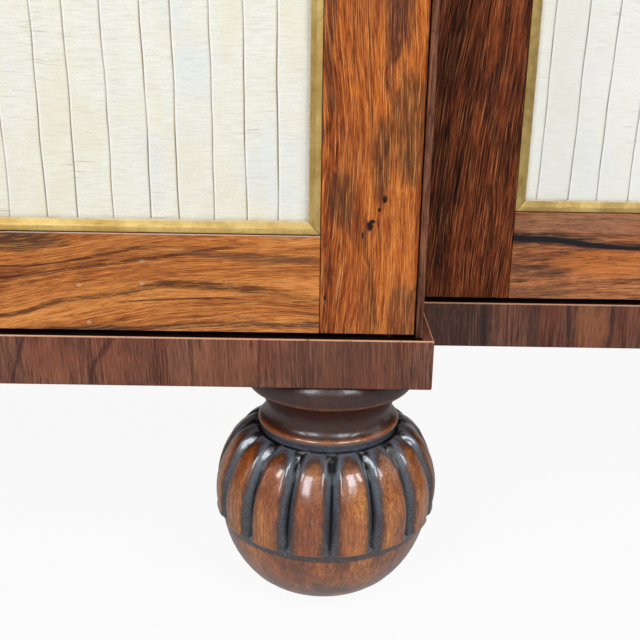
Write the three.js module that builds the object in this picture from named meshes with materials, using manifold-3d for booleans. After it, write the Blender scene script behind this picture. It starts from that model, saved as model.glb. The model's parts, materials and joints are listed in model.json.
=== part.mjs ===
// A breakfront chiffonier in rosewood: four doors with pleated silk panels in brass fillets, a base
// board that shows as a plinth, carved bun feet, and a shelf on brass columns above the top.
// Millimetres, +Z up, the front faces -Y, and the origin is on the floor under the middle of the piece.
import * as THREE from "three";
import { mergeVertices } from "three/addons/utils/BufferGeometryUtils.js";
import Module from "manifold-3d";

const wasm = await Module();
wasm.setup();

// Plan of the whole piece
const centreWidth = 840; // centre plinth, end to end
const sideWidth = 345; // each side plinth, beyond the centre one
const depth = 430; // centre plinth, front to back
const setback = 63; // side plinth's front behind the centre plinth's front
const topOverhang = 17; // top board beyond the plinth, at the front and the ends
const endLedge = 5.4; // plinth beyond the carcass at each end
const doorLedge = 3.5; // plinth beyond the door faces

// Heights
const footHeight = 130.5;
const plinthHeight = 25;
const doorHeight = 660;
const friezeHeight = 34;
const topThickness = 26;

// Clearances
const seam = 0.3; // between fixed pieces that touch
const cutOverrun = 2; // how far a cutting solid runs past the face that it opens
const doorFloorGap = 1.8; // over and under each door
const meetingGap = 1.6; // at the closing edge of each door
const hingeGap = 0.5; // at the hanging edge and behind the door

// Carcass boards
const gableThickness = 22;
const hangingLip = 3.3; // strip of a gable that shows beside the hanging edge
const closingLip = 6; // strip on a partition beside a side door's closing edge
const backThickness = 12;
const shelfThickness = 16;
const shelfHousing = 6; // depth of the groove that a shelf's end sits in
const shelfLevel = 330; // shelf's underside over the plinth
const shelfSetback = 6; // shelf's front edge behind the doors

// Doors
const doorThickness = 22;
const stileWidth = 45;
const railHeight = 47;
const rebateWidth = 8;
const rebateShoulder = 6; // wood in front of the panel rebate
const tenonLength = 25;
const tenonThickness = 6;
const tenonShoulder = 9; // above and below a tenon
const tenonBack = 13; // tenon's front behind the door's face
const hangingFrontRound = 2;
const hangingBackRound = 10;

// Pivot hinges
const pivotInset = 12; // pin's axis from the hanging edge
const pivotDepth = 4.5; // pin's axis behind the door's face
const pinRadius = 2.5;
const pinReach = 6.5; // into the base board or the frieze board
const boreClearance = 0.3;
const plateLength = 30;
const plateWidth = 12;
const plateThickness = 2.5;
const plateEdge = 5; // plate's end from the hanging edge
const plateFace = 1.8; // plate's side behind the door's face

// Brass fillets and silk panels
const filletWidth = 5.6;
const filletDepth = 4.6;
const filletHollow = 2.2; // how far the inner edge lies behind the outer one
const filletInset = 0.9; // outer edge behind the door's face
const pleatPitch = 15.2;
const pleatStep = 1.6;
const panelBoard = 6;

// Locks
const lockWidth = 30;
const lockHeight = 50;
const lockThickness = 9;
const boltLength = 24;
const boltHeight = 15;
const boltThickness = 3.8;
const boltTravel = 8;
const keyholeWidth = 3;
const keyholeHeight = 9;
const lockLevelShare = 0.52; // lock's middle, as a share of the door's height

// Carved bun feet
const ballRadius = 56.6;
const ballLevel = 50.5; // middle of the ball over the floor
const lobeCount = 16;
const grooveDepth = 5;
const grooveTurn = 2.5; // degrees, from straight ahead to the nearest groove
const rimLevel = 47; // lower ends of the lobes
const rimRadius = 59.4;
const lobeLevel = 58.5; // where the lobes are widest
const lobeRadius = 60;
const lobeTopLevel = 95.5;
const lobeTopRadius = 41.5;
const collarLevel = 98;
const collarRadius = 37.2;
const neckLevel = 105;
const neckRadius = 33.4;
const topRingLevel = 118.3; // lower edge of the ring under the base board
const topRingRadius = 43.4;
const seatRadius = 41.5;
const spigotRadius = 12;
const spigotLength = 18;
const spigotClearance = 0.5;
const footInsetX = 51; // foot's axis from the end of its plinth
const footInsetY = 44.6; // foot's axis behind its plinth's front
const backFootInset = 62;

// Shelf, columns and gallery above the top
const upperInset = 107; // raised shelf's end from the top board's end
const upperDepth = 205;
const upperBackThickness = 16;
const upperBackInset = 4;
const upperShelfThickness = 18;
const upperShelfLevel = 250; // shelf's underside over the top board
const upperBackRise = 26; // back board above the shelf
const columnInset = 26;
const columnRadius = 13;
const columnDowelRadius = 4;
const columnDowelLength = 9;
const dowelClearance = 0.4;
const galleryInset = 7;
const galleryStrip = 8;
const galleryStripThickness = 2;
const galleryRail = 4;
const galleryHeight = 36;
const gallerySpindleRadius = 1.8;
const gallerySpindlePitch = 62;

// Levels and faces worked out from the sizes above
const plinthTop = footHeight + plinthHeight;
const doorBottom = plinthTop + doorFloorGap;
const doorTop = doorBottom + doorHeight;
const friezeBottom = doorTop + doorFloorGap;
const friezeTop = friezeBottom + friezeHeight;
const topBottom = friezeTop + seam;
const topTop = topBottom + topThickness;
const backY = (depth + topOverhang) / 2;
const plinthFrontY = backY - depth;
const centreFaceY = plinthFrontY + doorLedge;
const sideFaceY = centreFaceY + setback;
const centreHalf = centreWidth / 2;
const fullHalf = centreHalf + sideWidth;
const partitionFace = centreHalf - endLedge;
const endFace = fullHalf - endLedge;
const upperHalf = fullHalf + topOverhang - upperInset;
const behindDoor = doorThickness + hingeGap;
const lockLevel = doorBottom + doorHeight * lockLevelShare;

// Materials
function finish(color, roughness, metalness) {
  return new THREE.MeshStandardMaterial({ color, roughness, metalness });
}
const rosewood = finish(0x7a3d1c, 0.35, 0);
const crossbanding = finish(0x5b3024, 0.4, 0);
const carvedRosewood = finish(0x5e2e16, 0.3, 0);
const carcassWood = finish(0x9a7148, 0.7, 0);
const silk = finish(0xe6e1d3, 0.75, 0);
const brass = finish(0xb08d3e, 0.35, 1);

// A closed geometry as a solid that can be cut and joined.
function solid(geometry) {
  const bare = geometry.clone();
  bare.deleteAttribute("normal");
  bare.deleteAttribute("uv");
  const merged = mergeVertices(bare, seam / 1000);
  return new wasm.Manifold(
    new wasm.Mesh({
      numProp: 3,
      vertProperties: merged.attributes.position.array,
      triVerts: new Uint32Array(merged.index.array),
    }),
  );
}

function geometryOf(made) {
  const mesh = made.getMesh();
  const geometry = new THREE.BufferGeometry()
    .setAttribute("position", new THREE.BufferAttribute(mesh.vertProperties, 3))
    .setIndex(new THREE.BufferAttribute(mesh.triVerts, 1));
  geometry.computeVertexNormals();
  return geometry;
}

function cut(geometry, cutters) {
  return geometryOf(cutters.reduce((body, cutter) => body.subtract(solid(cutter)), solid(geometry)));
}

function join(geometry, additions) {
  return geometryOf(additions.reduce((body, addition) => body.add(solid(addition)), solid(geometry)));
}

// A block between two values on each axis, in either order.
function block([x0, x1], [y0, y1], [z0, z1]) {
  const geometry = new THREE.BoxGeometry(Math.abs(x1 - x0), Math.abs(y1 - y0), Math.abs(z1 - z0));
  return geometry.translate((x0 + x1) / 2, (y0 + y1) / 2, (z0 + z1) / 2);
}

// An outline in plan, given as [x, y] points, stood up between two levels.
function prism(outline, z0, z1, bevel = {}) {
  const shape = new THREE.Shape(outline.map(([x, y]) => new THREE.Vector2(x, y)));
  const geometry = new THREE.ExtrudeGeometry(shape, { depth: z1 - z0, bevelEnabled: false, ...bevel });
  return geometry.translate(0, 0, z0);
}

function uprightCylinder(radius, x, y, z0, z1, sides = 16) {
  const geometry = new THREE.CylinderGeometry(radius, radius, z1 - z0, sides);
  return geometry.rotateX(Math.PI / 2).translate(x, y, (z0 + z1) / 2);
}

function arc(cx, cy, radius, fromTurns, toTurns, steps) {
  return Array.from({ length: steps + 1 }, (_, i) => {
    const angle = 2 * Math.PI * (fromTurns + ((toTurns - fromTurns) * i) / steps);
    return [cx + radius * Math.cos(angle), cy + radius * Math.sin(angle)];
  });
}

function piece(name, geometry, material) {
  const mesh = new THREE.Mesh(geometry, material);
  mesh.name = name;
  return mesh;
}

// The breakfront outline in plan, grown by `out` beyond the plinth at the front and the ends.
function breakfront(outX, outY) {
  const half = fullHalf + outX;
  const centre = centreHalf + outX;
  const front = plinthFrontY - outY;
  return [
    [-half, backY],
    [-half, front + setback],
    [-centre, front + setback],
    [-centre, front],
    [centre, front],
    [centre, front + setback],
    [half, front + setback],
    [half, backY],
  ];
}

// Each door: where it hangs, on which hand, and how wide it is.
const centreHangingEdge = partitionFace - hangingLip - hingeGap;
const sideHangingEdge = endFace - hangingLip - hingeGap;
const sideClosingEdge = partitionFace + closingLip + meetingGap;
const centreDoor = { edge: centreHangingEdge, face: centreFaceY, width: centreHangingEdge - meetingGap / 2 };
const sideDoor = { edge: sideHangingEdge, face: sideFaceY, width: sideHangingEdge - sideClosingEdge };
const doorPlans = [
  { name: "centre_left_door", hand: -1, ...centreDoor, strike: true },
  { name: "centre_right_door", hand: 1, ...centreDoor, lock: true },
  { name: "side_left_door", hand: -1, ...sideDoor, lock: true },
  { name: "side_right_door", hand: 1, ...sideDoor, lock: true },
];
const pivotOf = (plan) => [plan.hand * (plan.edge - pivotInset), plan.face + pivotDepth];

const feetPlans = [
  ["foot_front_left_inner", -(centreHalf - footInsetX), plinthFrontY + footInsetY],
  ["foot_front_right_inner", centreHalf - footInsetX, plinthFrontY + footInsetY],
  ["foot_front_left_outer", -(fullHalf - footInsetX), plinthFrontY + setback + footInsetY],
  ["foot_front_right_outer", fullHalf - footInsetX, plinthFrontY + setback + footInsetY],
  ["foot_back_left", -(fullHalf - footInsetX), backY - backFootInset],
  ["foot_back_right", fullHalf - footInsetX, backY - backFootInset],
];

// The foot's outline as [radius, level, share of the grooves' depth] rings, from the floor up.
function footRings() {
  const ball = (level) => Math.sqrt(ballRadius ** 2 - (level - ballLevel) ** 2);
  const reach = (lobeTopLevel - lobeLevel) / Math.sqrt(1 - (lobeTopRadius / lobeRadius) ** 2);
  const lobe = (level) => lobeRadius * Math.sqrt(1 - ((level - lobeLevel) / reach) ** 2);
  const ballShares = [0, 0.12, 0.33, 0.62, 0.99];
  const lobeShares = [0, 0.3, 0.55, 0.75, 0.9, 1];
  return [
    ...ballShares.map((share) => [ball(rimLevel * share), rimLevel * share, 0]),
    [rimRadius, rimLevel, 1],
    ...lobeShares.map((share) => {
      const level = lobeLevel + (lobeTopLevel - lobeLevel) * share;
      return [lobe(level), level, 1 - share / 2];
    }),
    [collarRadius, collarLevel, 0],
    [neckRadius, neckLevel, 0],
    [topRingRadius, topRingLevel, 0],
    [seatRadius, footHeight - seam, 0],
    [spigotRadius, footHeight - seam, 0],
    [spigotRadius, footHeight + spigotLength, 0],
  ];
}

// A carved bun foot: a ball with lobes over its upper half, a collar, a neck, and a spigot at the top.
function foot(name, x, y) {
  const rings = footRings();
  const around = 2 * lobeCount;
  const points = [];
  rings.forEach(([radius, level, relief]) => {
    for (let i = 0; i < around; i += 1) {
      const angle = (2 * Math.PI * i) / around - Math.PI / 2 + THREE.MathUtils.degToRad(grooveTurn);
      const r = radius - (i % 2 ? 0 : relief * grooveDepth);
      points.push(r * Math.cos(angle), r * Math.sin(angle), level);
    }
  });
  const bottom = points.length / 3;
  points.push(0, 0, 0, 0, 0, footHeight + spigotLength);
  const faces = [];
  for (let i = 0; i < around; i += 1) {
    const next = (i + 1) % around;
    for (let k = 0; k + 1 < rings.length; k += 1) {
      const [a, b, c, d] = [k * around + i, k * around + next, (k + 1) * around + next, (k + 1) * around + i];
      faces.push(a, b, c, a, c, d);
    }
    const last = (rings.length - 1) * around;
    faces.push(bottom, next, i, bottom + 1, last + i, last + next);
  }
  const geometry = new THREE.BufferGeometry()
    .setAttribute("position", new THREE.Float32BufferAttribute(points, 3))
    .setIndex(faces);
  geometry.computeVertexNormals();
  const made = piece(name, geometry, carvedRosewood);
  made.position.set(x, y, 0);
  return made;
}

// Base board, with bores for the lower pivot pins and for the spigots of the feet.
function baseBoard() {
  const pinBores = doorPlans.map((plan) => {
    const [x, y] = pivotOf(plan);
    return uprightCylinder(pinRadius + boreClearance, x, y, plinthTop - pinReach - boreClearance,
      plinthTop + cutOverrun);
  });
  const spigotBores = feetPlans.map(([, x, y]) =>
    uprightCylinder(spigotRadius + spigotClearance, x, y, footHeight - cutOverrun,
      footHeight + spigotLength + spigotClearance, 24));
  const board = prism(breakfront(0, 0), footHeight, plinthTop);
  return piece("base_board", cut(board, [...pinBores, ...spigotBores]), crossbanding);
}

// Frieze board under the top, flush with the door faces, with bores for the upper pivot pins.
function friezeBoard() {
  const pinBores = doorPlans.map((plan) => {
    const [x, y] = pivotOf(plan);
    return uprightCylinder(pinRadius + boreClearance, x, y, friezeBottom - cutOverrun,
      friezeBottom + pinReach + boreClearance);
  });
  const board = prism(breakfront(-endLedge, -doorLedge), friezeBottom, friezeTop);
  return piece("frieze_board", cut(board, pinBores), crossbanding);
}

function shelfGroove(x0, x1, frontY) {
  const level = plinthTop + shelfLevel;
  return block([x0, x1], [frontY, backY + cutOverrun], [level - seam, level + shelfThickness + seam]);
}

// A gable: full thickness behind the door, and a thin lip beside its hanging edge. On the right, hand is 1.
function gable(name, hand, outer, face, back, extras, grooves) {
  const inner = outer - gableThickness;
  const lipInner = outer - hangingLip;
  const outline = [
    [inner, back],
    [inner, face + behindDoor],
    [lipInner, face + behindDoor],
    [lipInner, face],
    [outer, face],
    ...extras,
    [outer, back],
  ].map(([x, y]) => [hand * x, y]);
  const body = prism(outline, plinthTop + seam, friezeBottom - seam);
  return piece(name, cut(body, grooves.map((groove) => groove(hand))), rosewood);
}

function gables() {
  const shelfFront = (face) => face + behindDoor + shelfSetback - seam;
  const partitionBack = backY - backThickness - seam;
  const partitionInner = partitionFace - gableThickness;
  const endInner = endFace - gableThickness;
  const closingStrip = [
    [partitionFace, sideFaceY],
    [partitionFace + closingLip, sideFaceY],
    [partitionFace + closingLip, sideFaceY + doorThickness],
    [partitionFace, sideFaceY + doorThickness],
  ];
  const strikeBack = sideFaceY + doorThickness - (lockThickness - boltThickness) / 2;
  const strike = (hand) =>
    block(
      [hand * (partitionFace + closingLip - boltTravel), hand * (partitionFace + closingLip + cutOverrun)],
      [strikeBack - boltThickness - 2 * seam, strikeBack + 2 * seam],
      [lockLevel - boltHeight / 2 - 2 * seam, lockLevel + boltHeight / 2 + 2 * seam],
    );
  const groovesIn = (x, direction, face) => (hand) => {
    const [mouth, end] = [x - direction * cutOverrun, x + direction * (shelfHousing + seam)];
    return shelfGroove(hand * mouth, hand * end, shelfFront(face));
  };
  return [-1, 1].flatMap((hand) => {
    const side = hand < 0 ? "left" : "right";
    return [
      gable(`partition_${side}`, hand, partitionFace, centreFaceY, partitionBack, closingStrip,
        [groovesIn(partitionInner, 1, centreFaceY), groovesIn(partitionFace, -1, sideFaceY), strike]),
      gable(`end_${side}`, hand, endFace, sideFaceY, backY, [], [groovesIn(endInner, 1, sideFaceY)]),
    ];
  });
}

function shelves() {
  const level = plinthTop + shelfLevel;
  const back = backY - backThickness - seam;
  const shelf = (name, x0, x1, face) => {
    const front = face + behindDoor + shelfSetback;
    return piece(name, block([x0, x1], [front, back], [level, level + shelfThickness]), carcassWood);
  };
  const centreReach = partitionFace - gableThickness + shelfHousing;
  const sideFrom = partitionFace - shelfHousing;
  const sideTo = endFace - gableThickness + shelfHousing;
  return [
    shelf("shelf_centre", -centreReach, centreReach, centreFaceY),
    shelf("shelf_left", -sideTo, -sideFrom, sideFaceY),
    shelf("shelf_right", sideFrom, sideTo, sideFaceY),
  ];
}

function backPanel() {
  const reach = endFace - gableThickness - seam;
  const levels = [plinthTop + seam, friezeBottom - seam];
  const board = block([-reach, reach], [backY - backThickness, backY], levels);
  return piece("back_panel", board, carcassWood);
}

const columnX = upperHalf - columnInset;
const upperFrontY = backY - upperDepth;
const columnY = upperFrontY + columnInset;

function columnBores(z0, z1) {
  return [-1, 1].map((hand) =>
    uprightCylinder(columnDowelRadius + dowelClearance, hand * columnX, columnY, z0, z1));
}

// Top board with a rounded edge.
function topBoard() {
  const edge = topThickness / 3;
  const body = prism(breakfront(topOverhang - edge, topOverhang - edge), topBottom + edge, topTop - edge, {
    bevelEnabled: true,
    bevelThickness: edge,
    bevelSize: edge,
    bevelSegments: 3,
  });
  const flatBack = block([-fullHalf * 2, fullHalf * 2], [backY, backY + topThickness],
    [topBottom - cutOverrun, topTop + cutOverrun]);
  const bores = columnBores(topTop - columnDowelLength - dowelClearance, topTop + cutOverrun);
  return piece("top_board", cut(body, [flatBack, ...bores]), rosewood);
}

function upperShelf() {
  const bottom = topTop + upperShelfLevel;
  const back = backY - upperBackInset - upperBackThickness - seam;
  const body = block([-upperHalf, upperHalf], [upperFrontY, back], [bottom, bottom + upperShelfThickness]);
  const bores = columnBores(bottom - cutOverrun, bottom + columnDowelLength + dowelClearance);
  return piece("upper_shelf", cut(body, bores), rosewood);
}

function upperBack() {
  const back = backY - upperBackInset;
  const top = topTop + upperShelfLevel + upperShelfThickness + upperBackRise;
  const board = block([-upperHalf, upperHalf], [back - upperBackThickness, back], [topTop + seam, top]);
  return piece("upper_back", board, rosewood);
}

// A turned brass baluster column with a dowel at each end.
function column(name, hand) {
  const height = upperShelfLevel;
  const profileShares = [
    [1, 0], [1, 0.03], [0.7, 0.05], [0.85, 0.08], [0.45, 0.12], [0.95, 0.3], [0.8, 0.42], [0.42, 0.6],
    [0.4, 0.78], [0.75, 0.82], [0.45, 0.86], [0.8, 0.92], [1, 0.96], [1, 1],
  ];
  const profile = [
    [0, -columnDowelLength],
    [columnDowelRadius, -columnDowelLength],
    [columnDowelRadius, seam],
    ...profileShares.map(([r, z]) => [columnRadius * r, seam + (height - 2 * seam) * z]),
    [columnDowelRadius, height - seam],
    [columnDowelRadius, height + columnDowelLength],
    [0, height + columnDowelLength],
  ].map(([r, z]) => new THREE.Vector2(r, z));
  const made = piece(name, new THREE.LatheGeometry(profile, 16).rotateX(Math.PI / 2), brass);
  made.position.set(hand * columnX, columnY, topTop);
  return made;
}

// The brass gallery: a strip on the shelf, spindles, and a rail, round the back and both ends.
function gallery() {
  const floor = topTop + upperShelfLevel + upperShelfThickness + seam;
  const half = upperHalf - galleryInset;
  const front = upperFrontY + galleryInset;
  const back = backY - upperBackInset - upperBackThickness - seam - galleryInset;
  const bar = (width, z0, z1) => {
    const r = width / 2;
    return prism([
      [-half - r, back + r], [-half - r, front], [-half + r, front], [-half + r, back - r],
      [half - r, back - r], [half - r, front], [half + r, front], [half + r, back + r],
    ], z0, z1);
  };
  const railBottom = floor + galleryHeight - galleryRail;
  const [low, high] = [floor + galleryStripThickness / 2, railBottom + galleryRail / 2];
  const spindle = ([x, y]) => uprightCylinder(gallerySpindleRadius, x, y, low, high, 6);
  const spots = [];
  const along = Math.round((2 * half) / gallerySpindlePitch);
  for (let i = 0; i <= along; i += 1) {
    spots.push([-half + (2 * half * i) / along, back]);
  }
  const deep = Math.round((back - front) / gallerySpindlePitch);
  for (let i = 0; i < deep; i += 1) {
    const y = front + gallerySpindleRadius + ((back - front) * i) / deep;
    spots.push([-half, y], [half, y]);
  }
  const strip = bar(galleryStrip, floor, floor + galleryStripThickness);
  const handrail = bar(galleryRail, railBottom, railBottom + galleryRail);
  return piece("gallery", join(strip, [handrail, ...spots.map(spindle)]), brass);
}

// A door's own frame: u runs from its hanging edge, v from its face backwards, and w up from its bottom.
function doorFrame(plan) {
  const x = (u) => plan.hand * (plan.edge - u);
  const y = (v) => plan.face + v;
  const z = (w) => doorBottom + w;
  const box = ([u0, u1], [v0, v1], [w0, w1]) => block([x(u0), x(u1)], [y(v0), y(v1)], [z(w0), z(w1)]);
  const post = (outline) => prism(outline.map(([u, v]) => [x(u), y(v)]), z(0), z(doorHeight));
  return { x, y, z, box, post };
}

function tenonLevels(bottom) {
  const low = bottom ? tenonShoulder : doorHeight - railHeight + tenonShoulder;
  return [low, low + railHeight - 2 * tenonShoulder];
}

function mortises(at, u0, u1) {
  return [true, false].map((bottom) => {
    const [low, high] = tenonLevels(bottom);
    return at.box([u0, u1], [tenonBack - seam, tenonBack + tenonThickness + seam], [low - seam, high + seam]);
  });
}

function hangingStile(plan, at) {
  const outline = [
    [stileWidth, 0],
    ...arc(hangingFrontRound, hangingFrontRound, hangingFrontRound, 0.75, 0.5, 3),
    ...arc(hangingBackRound, doorThickness - hangingBackRound, hangingBackRound, 0.5, 0.25, 5),
    [stileWidth - rebateWidth, doorThickness],
    [stileWidth - rebateWidth, rebateShoulder],
    [stileWidth, rebateShoulder],
  ];
  const pocket = (span) => {
    const [u0, v0] = [plateEdge - seam, plateFace - seam];
    return at.box([u0, u0 + plateLength + 2 * seam], [v0, v0 + plateWidth + 2 * seam], span);
  };
  return piece(`${plan.name}_hanging_stile`,
    cut(at.post(outline), [
      ...mortises(at, stileWidth - tenonLength - seam, stileWidth + cutOverrun),
      pocket([-cutOverrun, plateThickness + seam]),
      pocket([doorHeight - plateThickness - seam, doorHeight + cutOverrun]),
    ]), rosewood);
}

// The space that a lock's bolt moves in, grown by `room` on every side but the ends.
function boltSpace(plan, at, u0, u1, room) {
  const back = doorThickness - (lockThickness - boltThickness) / 2;
  const middle = doorHeight * lockLevelShare;
  return at.box([u0, u1], [back - boltThickness - room, back + room],
    [middle - boltHeight / 2 - room, middle + boltHeight / 2 + room]);
}

function closingStile(plan, at) {
  const u0 = plan.width - stileWidth;
  const middle = doorHeight * lockLevelShare;
  const outline = [
    [u0, 0],
    [plan.width, 0],
    [plan.width, doorThickness],
    [u0 + rebateWidth, doorThickness],
    [u0 + rebateWidth, rebateShoulder],
    [u0, rebateShoulder],
  ];
  const cuts = mortises(at, u0 - cutOverrun, u0 + tenonLength + seam);
  if (plan.lock) {
    const keyhole = plan.width - lockWidth / 2;
    const lockFront = doorThickness - lockThickness;
    cuts.push(
      at.box([plan.width - lockWidth - seam, plan.width + cutOverrun],
        [lockFront - seam, doorThickness + cutOverrun],
        [middle - lockHeight / 2 - seam, middle + lockHeight / 2 + seam]),
      at.box([keyhole - keyholeWidth / 2, keyhole + keyholeWidth / 2], [-cutOverrun, lockFront],
        [middle - keyholeHeight / 2, middle + keyholeHeight / 2]),
    );
  }
  if (plan.strike) cuts.push(boltSpace(plan, at, plan.width - boltTravel, plan.width + cutOverrun, 2 * seam));
  return piece(`${plan.name}_closing_stile`, cut(at.post(outline), cuts), rosewood);
}

function rail(plan, at, bottom) {
  const [u0, u1] = [stileWidth + seam, plan.width - stileWidth - seam];
  const behind = doorThickness + cutOverrun;
  const span = bottom ? [0, railHeight] : [doorHeight - railHeight, doorHeight];
  const rebate = bottom ? [railHeight - rebateWidth, railHeight + cutOverrun]
    : [doorHeight - railHeight - cutOverrun, doorHeight - railHeight + rebateWidth];
  const body = at.box([u0, u1], [0, doorThickness], span);
  const tenon = at.box([stileWidth - tenonLength, plan.width - stileWidth + tenonLength],
    [tenonBack, tenonBack + tenonThickness], tenonLevels(bottom));
  const groove = at.box([u0 - cutOverrun, u1 + cutOverrun], [rebateShoulder, behind], rebate);
  const shaped = geometryOf(solid(body).subtract(solid(groove)).add(solid(tenon)));
  return piece(`${plan.name}_${bottom ? "bottom" : "top"}_rail`, shaped, rosewood);
}

// Silk in knife pleats on its board, held in the frame's rebate.
function silkPanel(plan, at) {
  const edge = stileWidth - rebateWidth + 2 * seam;
  const [u0, u1] = [edge, plan.width - edge];
  const count = Math.round((u1 - u0) / pleatPitch);
  const pitch = (u1 - u0) / count;
  const front = rebateShoulder + seam;
  const outline = [[u0, front + pleatStep + panelBoard]];
  for (let i = 0; i < count; i += 1) {
    outline.push([u0 + pitch * i, front + (i ? 0 : pleatStep)]);
    outline.push([u0 + pitch * (i + 1), front + pleatStep]);
  }
  outline.push([u1, front + pleatStep + panelBoard]);
  const inset = railHeight - rebateWidth + 2 * seam;
  const body = prism(outline.map(([u, v]) => [at.x(u), at.y(v)]), at.z(inset), at.z(doorHeight - inset));
  return piece(`${plan.name}_silk_panel`, body, silk);
}

// The brass fillet: one section carried round the four mitred corners of the frame's opening.
function fillet(plan, at) {
  const corners = (inset) => [
    [stileWidth + inset, railHeight + inset],
    [plan.width - stileWidth - inset, railHeight + inset],
    [plan.width - stileWidth - inset, doorHeight - railHeight - inset],
    [stileWidth + inset, doorHeight - railHeight - inset],
  ];
  const section = [
    [seam, filletInset],
    [seam + filletWidth / 2, filletInset + filletHollow / 5],
    [seam + filletWidth, filletInset + filletHollow],
    [seam + filletWidth, filletInset + filletDepth],
    [seam, filletInset + filletDepth],
  ];
  const points = section.flatMap(([inset, v]) =>
    corners(inset).flatMap(([u, w]) => [at.x(u), at.y(v), at.z(w)]));
  const faces = [];
  for (let k = 0; k < section.length; k += 1) {
    for (let i = 0; i < 4; i += 1) {
      const [j, m] = [(i + 1) % 4, (k + 1) % section.length];
      const [a, b, c, d] = [k * 4 + i, k * 4 + j, m * 4 + j, m * 4 + i];
      faces.push(...(plan.hand < 0 ? [a, b, c, a, c, d] : [a, c, b, a, d, c]));
    }
  }
  const geometry = new THREE.BufferGeometry()
    .setAttribute("position", new THREE.Float32BufferAttribute(points, 3))
    .setIndex(faces);
  geometry.computeVertexNormals();
  return piece(`${plan.name}_brass_fillet`, geometry, brass);
}

// A pivot hinge's plate, let into the end of the hanging stile, with its pin.
function pivot(plan, at, bottom) {
  const plateSpan = bottom ? [0, plateThickness] : [doorHeight - plateThickness, doorHeight];
  const reach = doorFloorGap + pinReach;
  const inPlate = plateThickness / 2;
  const pinSpan = bottom ? [-reach, inPlate] : [doorHeight - inPlate, doorHeight + reach];
  const [x, y] = pivotOf(plan);
  const plate = at.box([plateEdge, plateEdge + plateLength], [plateFace, plateFace + plateWidth], plateSpan);
  const pin = uprightCylinder(pinRadius, x, y, at.z(pinSpan[0]), at.z(pinSpan[1]));
  return piece(`${plan.name}_${bottom ? "lower" : "upper"}_pivot`, join(plate, [pin]), brass);
}

function lockPieces(plan, at) {
  const middle = doorHeight * lockLevelShare;
  const body = at.box([plan.width - lockWidth, plan.width], [doorThickness - lockThickness, doorThickness],
    [middle - lockHeight / 2, middle + lockHeight / 2]);
  const channel = boltSpace(plan, at, plan.width - boltLength - 2 * seam, plan.width + cutOverrun, seam);
  const bolt = boltSpace(plan, at, plan.width - boltLength, plan.width - seam, 0);
  return [
    piece(`${plan.name}_lock_case`, cut(body, [channel]), brass),
    piece(`${plan.name}_lock_bolt`, bolt, brass),
  ];
}

function door(plan) {
  const at = doorFrame(plan);
  const group = new THREE.Group();
  group.add(
    hangingStile(plan, at),
    closingStile(plan, at),
    rail(plan, at, true),
    rail(plan, at, false),
    silkPanel(plan, at),
    fillet(plan, at),
    pivot(plan, at, true),
    pivot(plan, at, false),
  );
  if (plan.lock) group.add(...lockPieces(plan, at));
  return group;
}

const chiffonier = new THREE.Group();
chiffonier.add(
  ...feetPlans.map(([name, x, y]) => foot(name, x, y)),
  baseBoard(),
  ...gables(),
  backPanel(),
  ...shelves(),
  friezeBoard(),
  topBoard(),
  upperBack(),
  upperShelf(),
  column("column_left", -1),
  column("column_right", 1),
  gallery(),
  ...doorPlans.map(door),
);

export default chiffonier;
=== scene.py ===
# A rosewood chiffonier: four doors with pleated silk in brass fillets, a crossbanded plinth on carved
# bun feet, and a shelf on brass columns above the top. The boards are eased copies of the frame's own;
# feet, silk, fillets, columns and gallery are modelled here in full.
import json
import math
import random

import bmesh
import bpy
from mathutils import Euler, Matrix, Vector

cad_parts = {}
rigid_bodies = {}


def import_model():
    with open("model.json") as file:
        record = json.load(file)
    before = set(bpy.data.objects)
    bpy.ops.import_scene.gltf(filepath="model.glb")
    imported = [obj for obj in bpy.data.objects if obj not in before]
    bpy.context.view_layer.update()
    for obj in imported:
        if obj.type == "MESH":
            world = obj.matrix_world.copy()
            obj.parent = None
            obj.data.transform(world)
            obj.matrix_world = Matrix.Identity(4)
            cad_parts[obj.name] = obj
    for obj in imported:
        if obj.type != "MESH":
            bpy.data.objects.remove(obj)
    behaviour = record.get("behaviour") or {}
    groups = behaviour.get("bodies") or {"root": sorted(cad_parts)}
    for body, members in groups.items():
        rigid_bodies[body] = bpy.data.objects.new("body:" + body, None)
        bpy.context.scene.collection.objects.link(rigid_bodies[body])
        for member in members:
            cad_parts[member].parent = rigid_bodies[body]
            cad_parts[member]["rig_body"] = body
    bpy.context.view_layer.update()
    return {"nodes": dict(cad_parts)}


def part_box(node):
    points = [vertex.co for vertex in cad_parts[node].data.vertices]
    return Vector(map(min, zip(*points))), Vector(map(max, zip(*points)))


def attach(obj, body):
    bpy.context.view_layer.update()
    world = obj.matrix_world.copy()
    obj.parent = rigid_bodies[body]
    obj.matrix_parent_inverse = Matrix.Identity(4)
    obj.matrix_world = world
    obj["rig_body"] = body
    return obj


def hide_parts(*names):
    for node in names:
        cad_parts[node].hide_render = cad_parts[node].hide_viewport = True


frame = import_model()
nodes = frame["nodes"]
body_of_node = {name: node["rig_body"] for name, node in nodes.items()}
MM = 0.001
DOORS = ("centre_left_door", "centre_right_door", "side_left_door", "side_right_door")


# Small tools for shading

WHITE = (1, 1, 1, 1)
TONE_PLACES = (0.0, 0.3, 0.6, 1.0)


def seen(red, green, blue):
    """A colour given as it looks, from 0 to 255, in the linear values that the nodes take."""
    return (*((channel / 255) ** 2.2 for channel in (red, green, blue)), 1.0)


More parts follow.
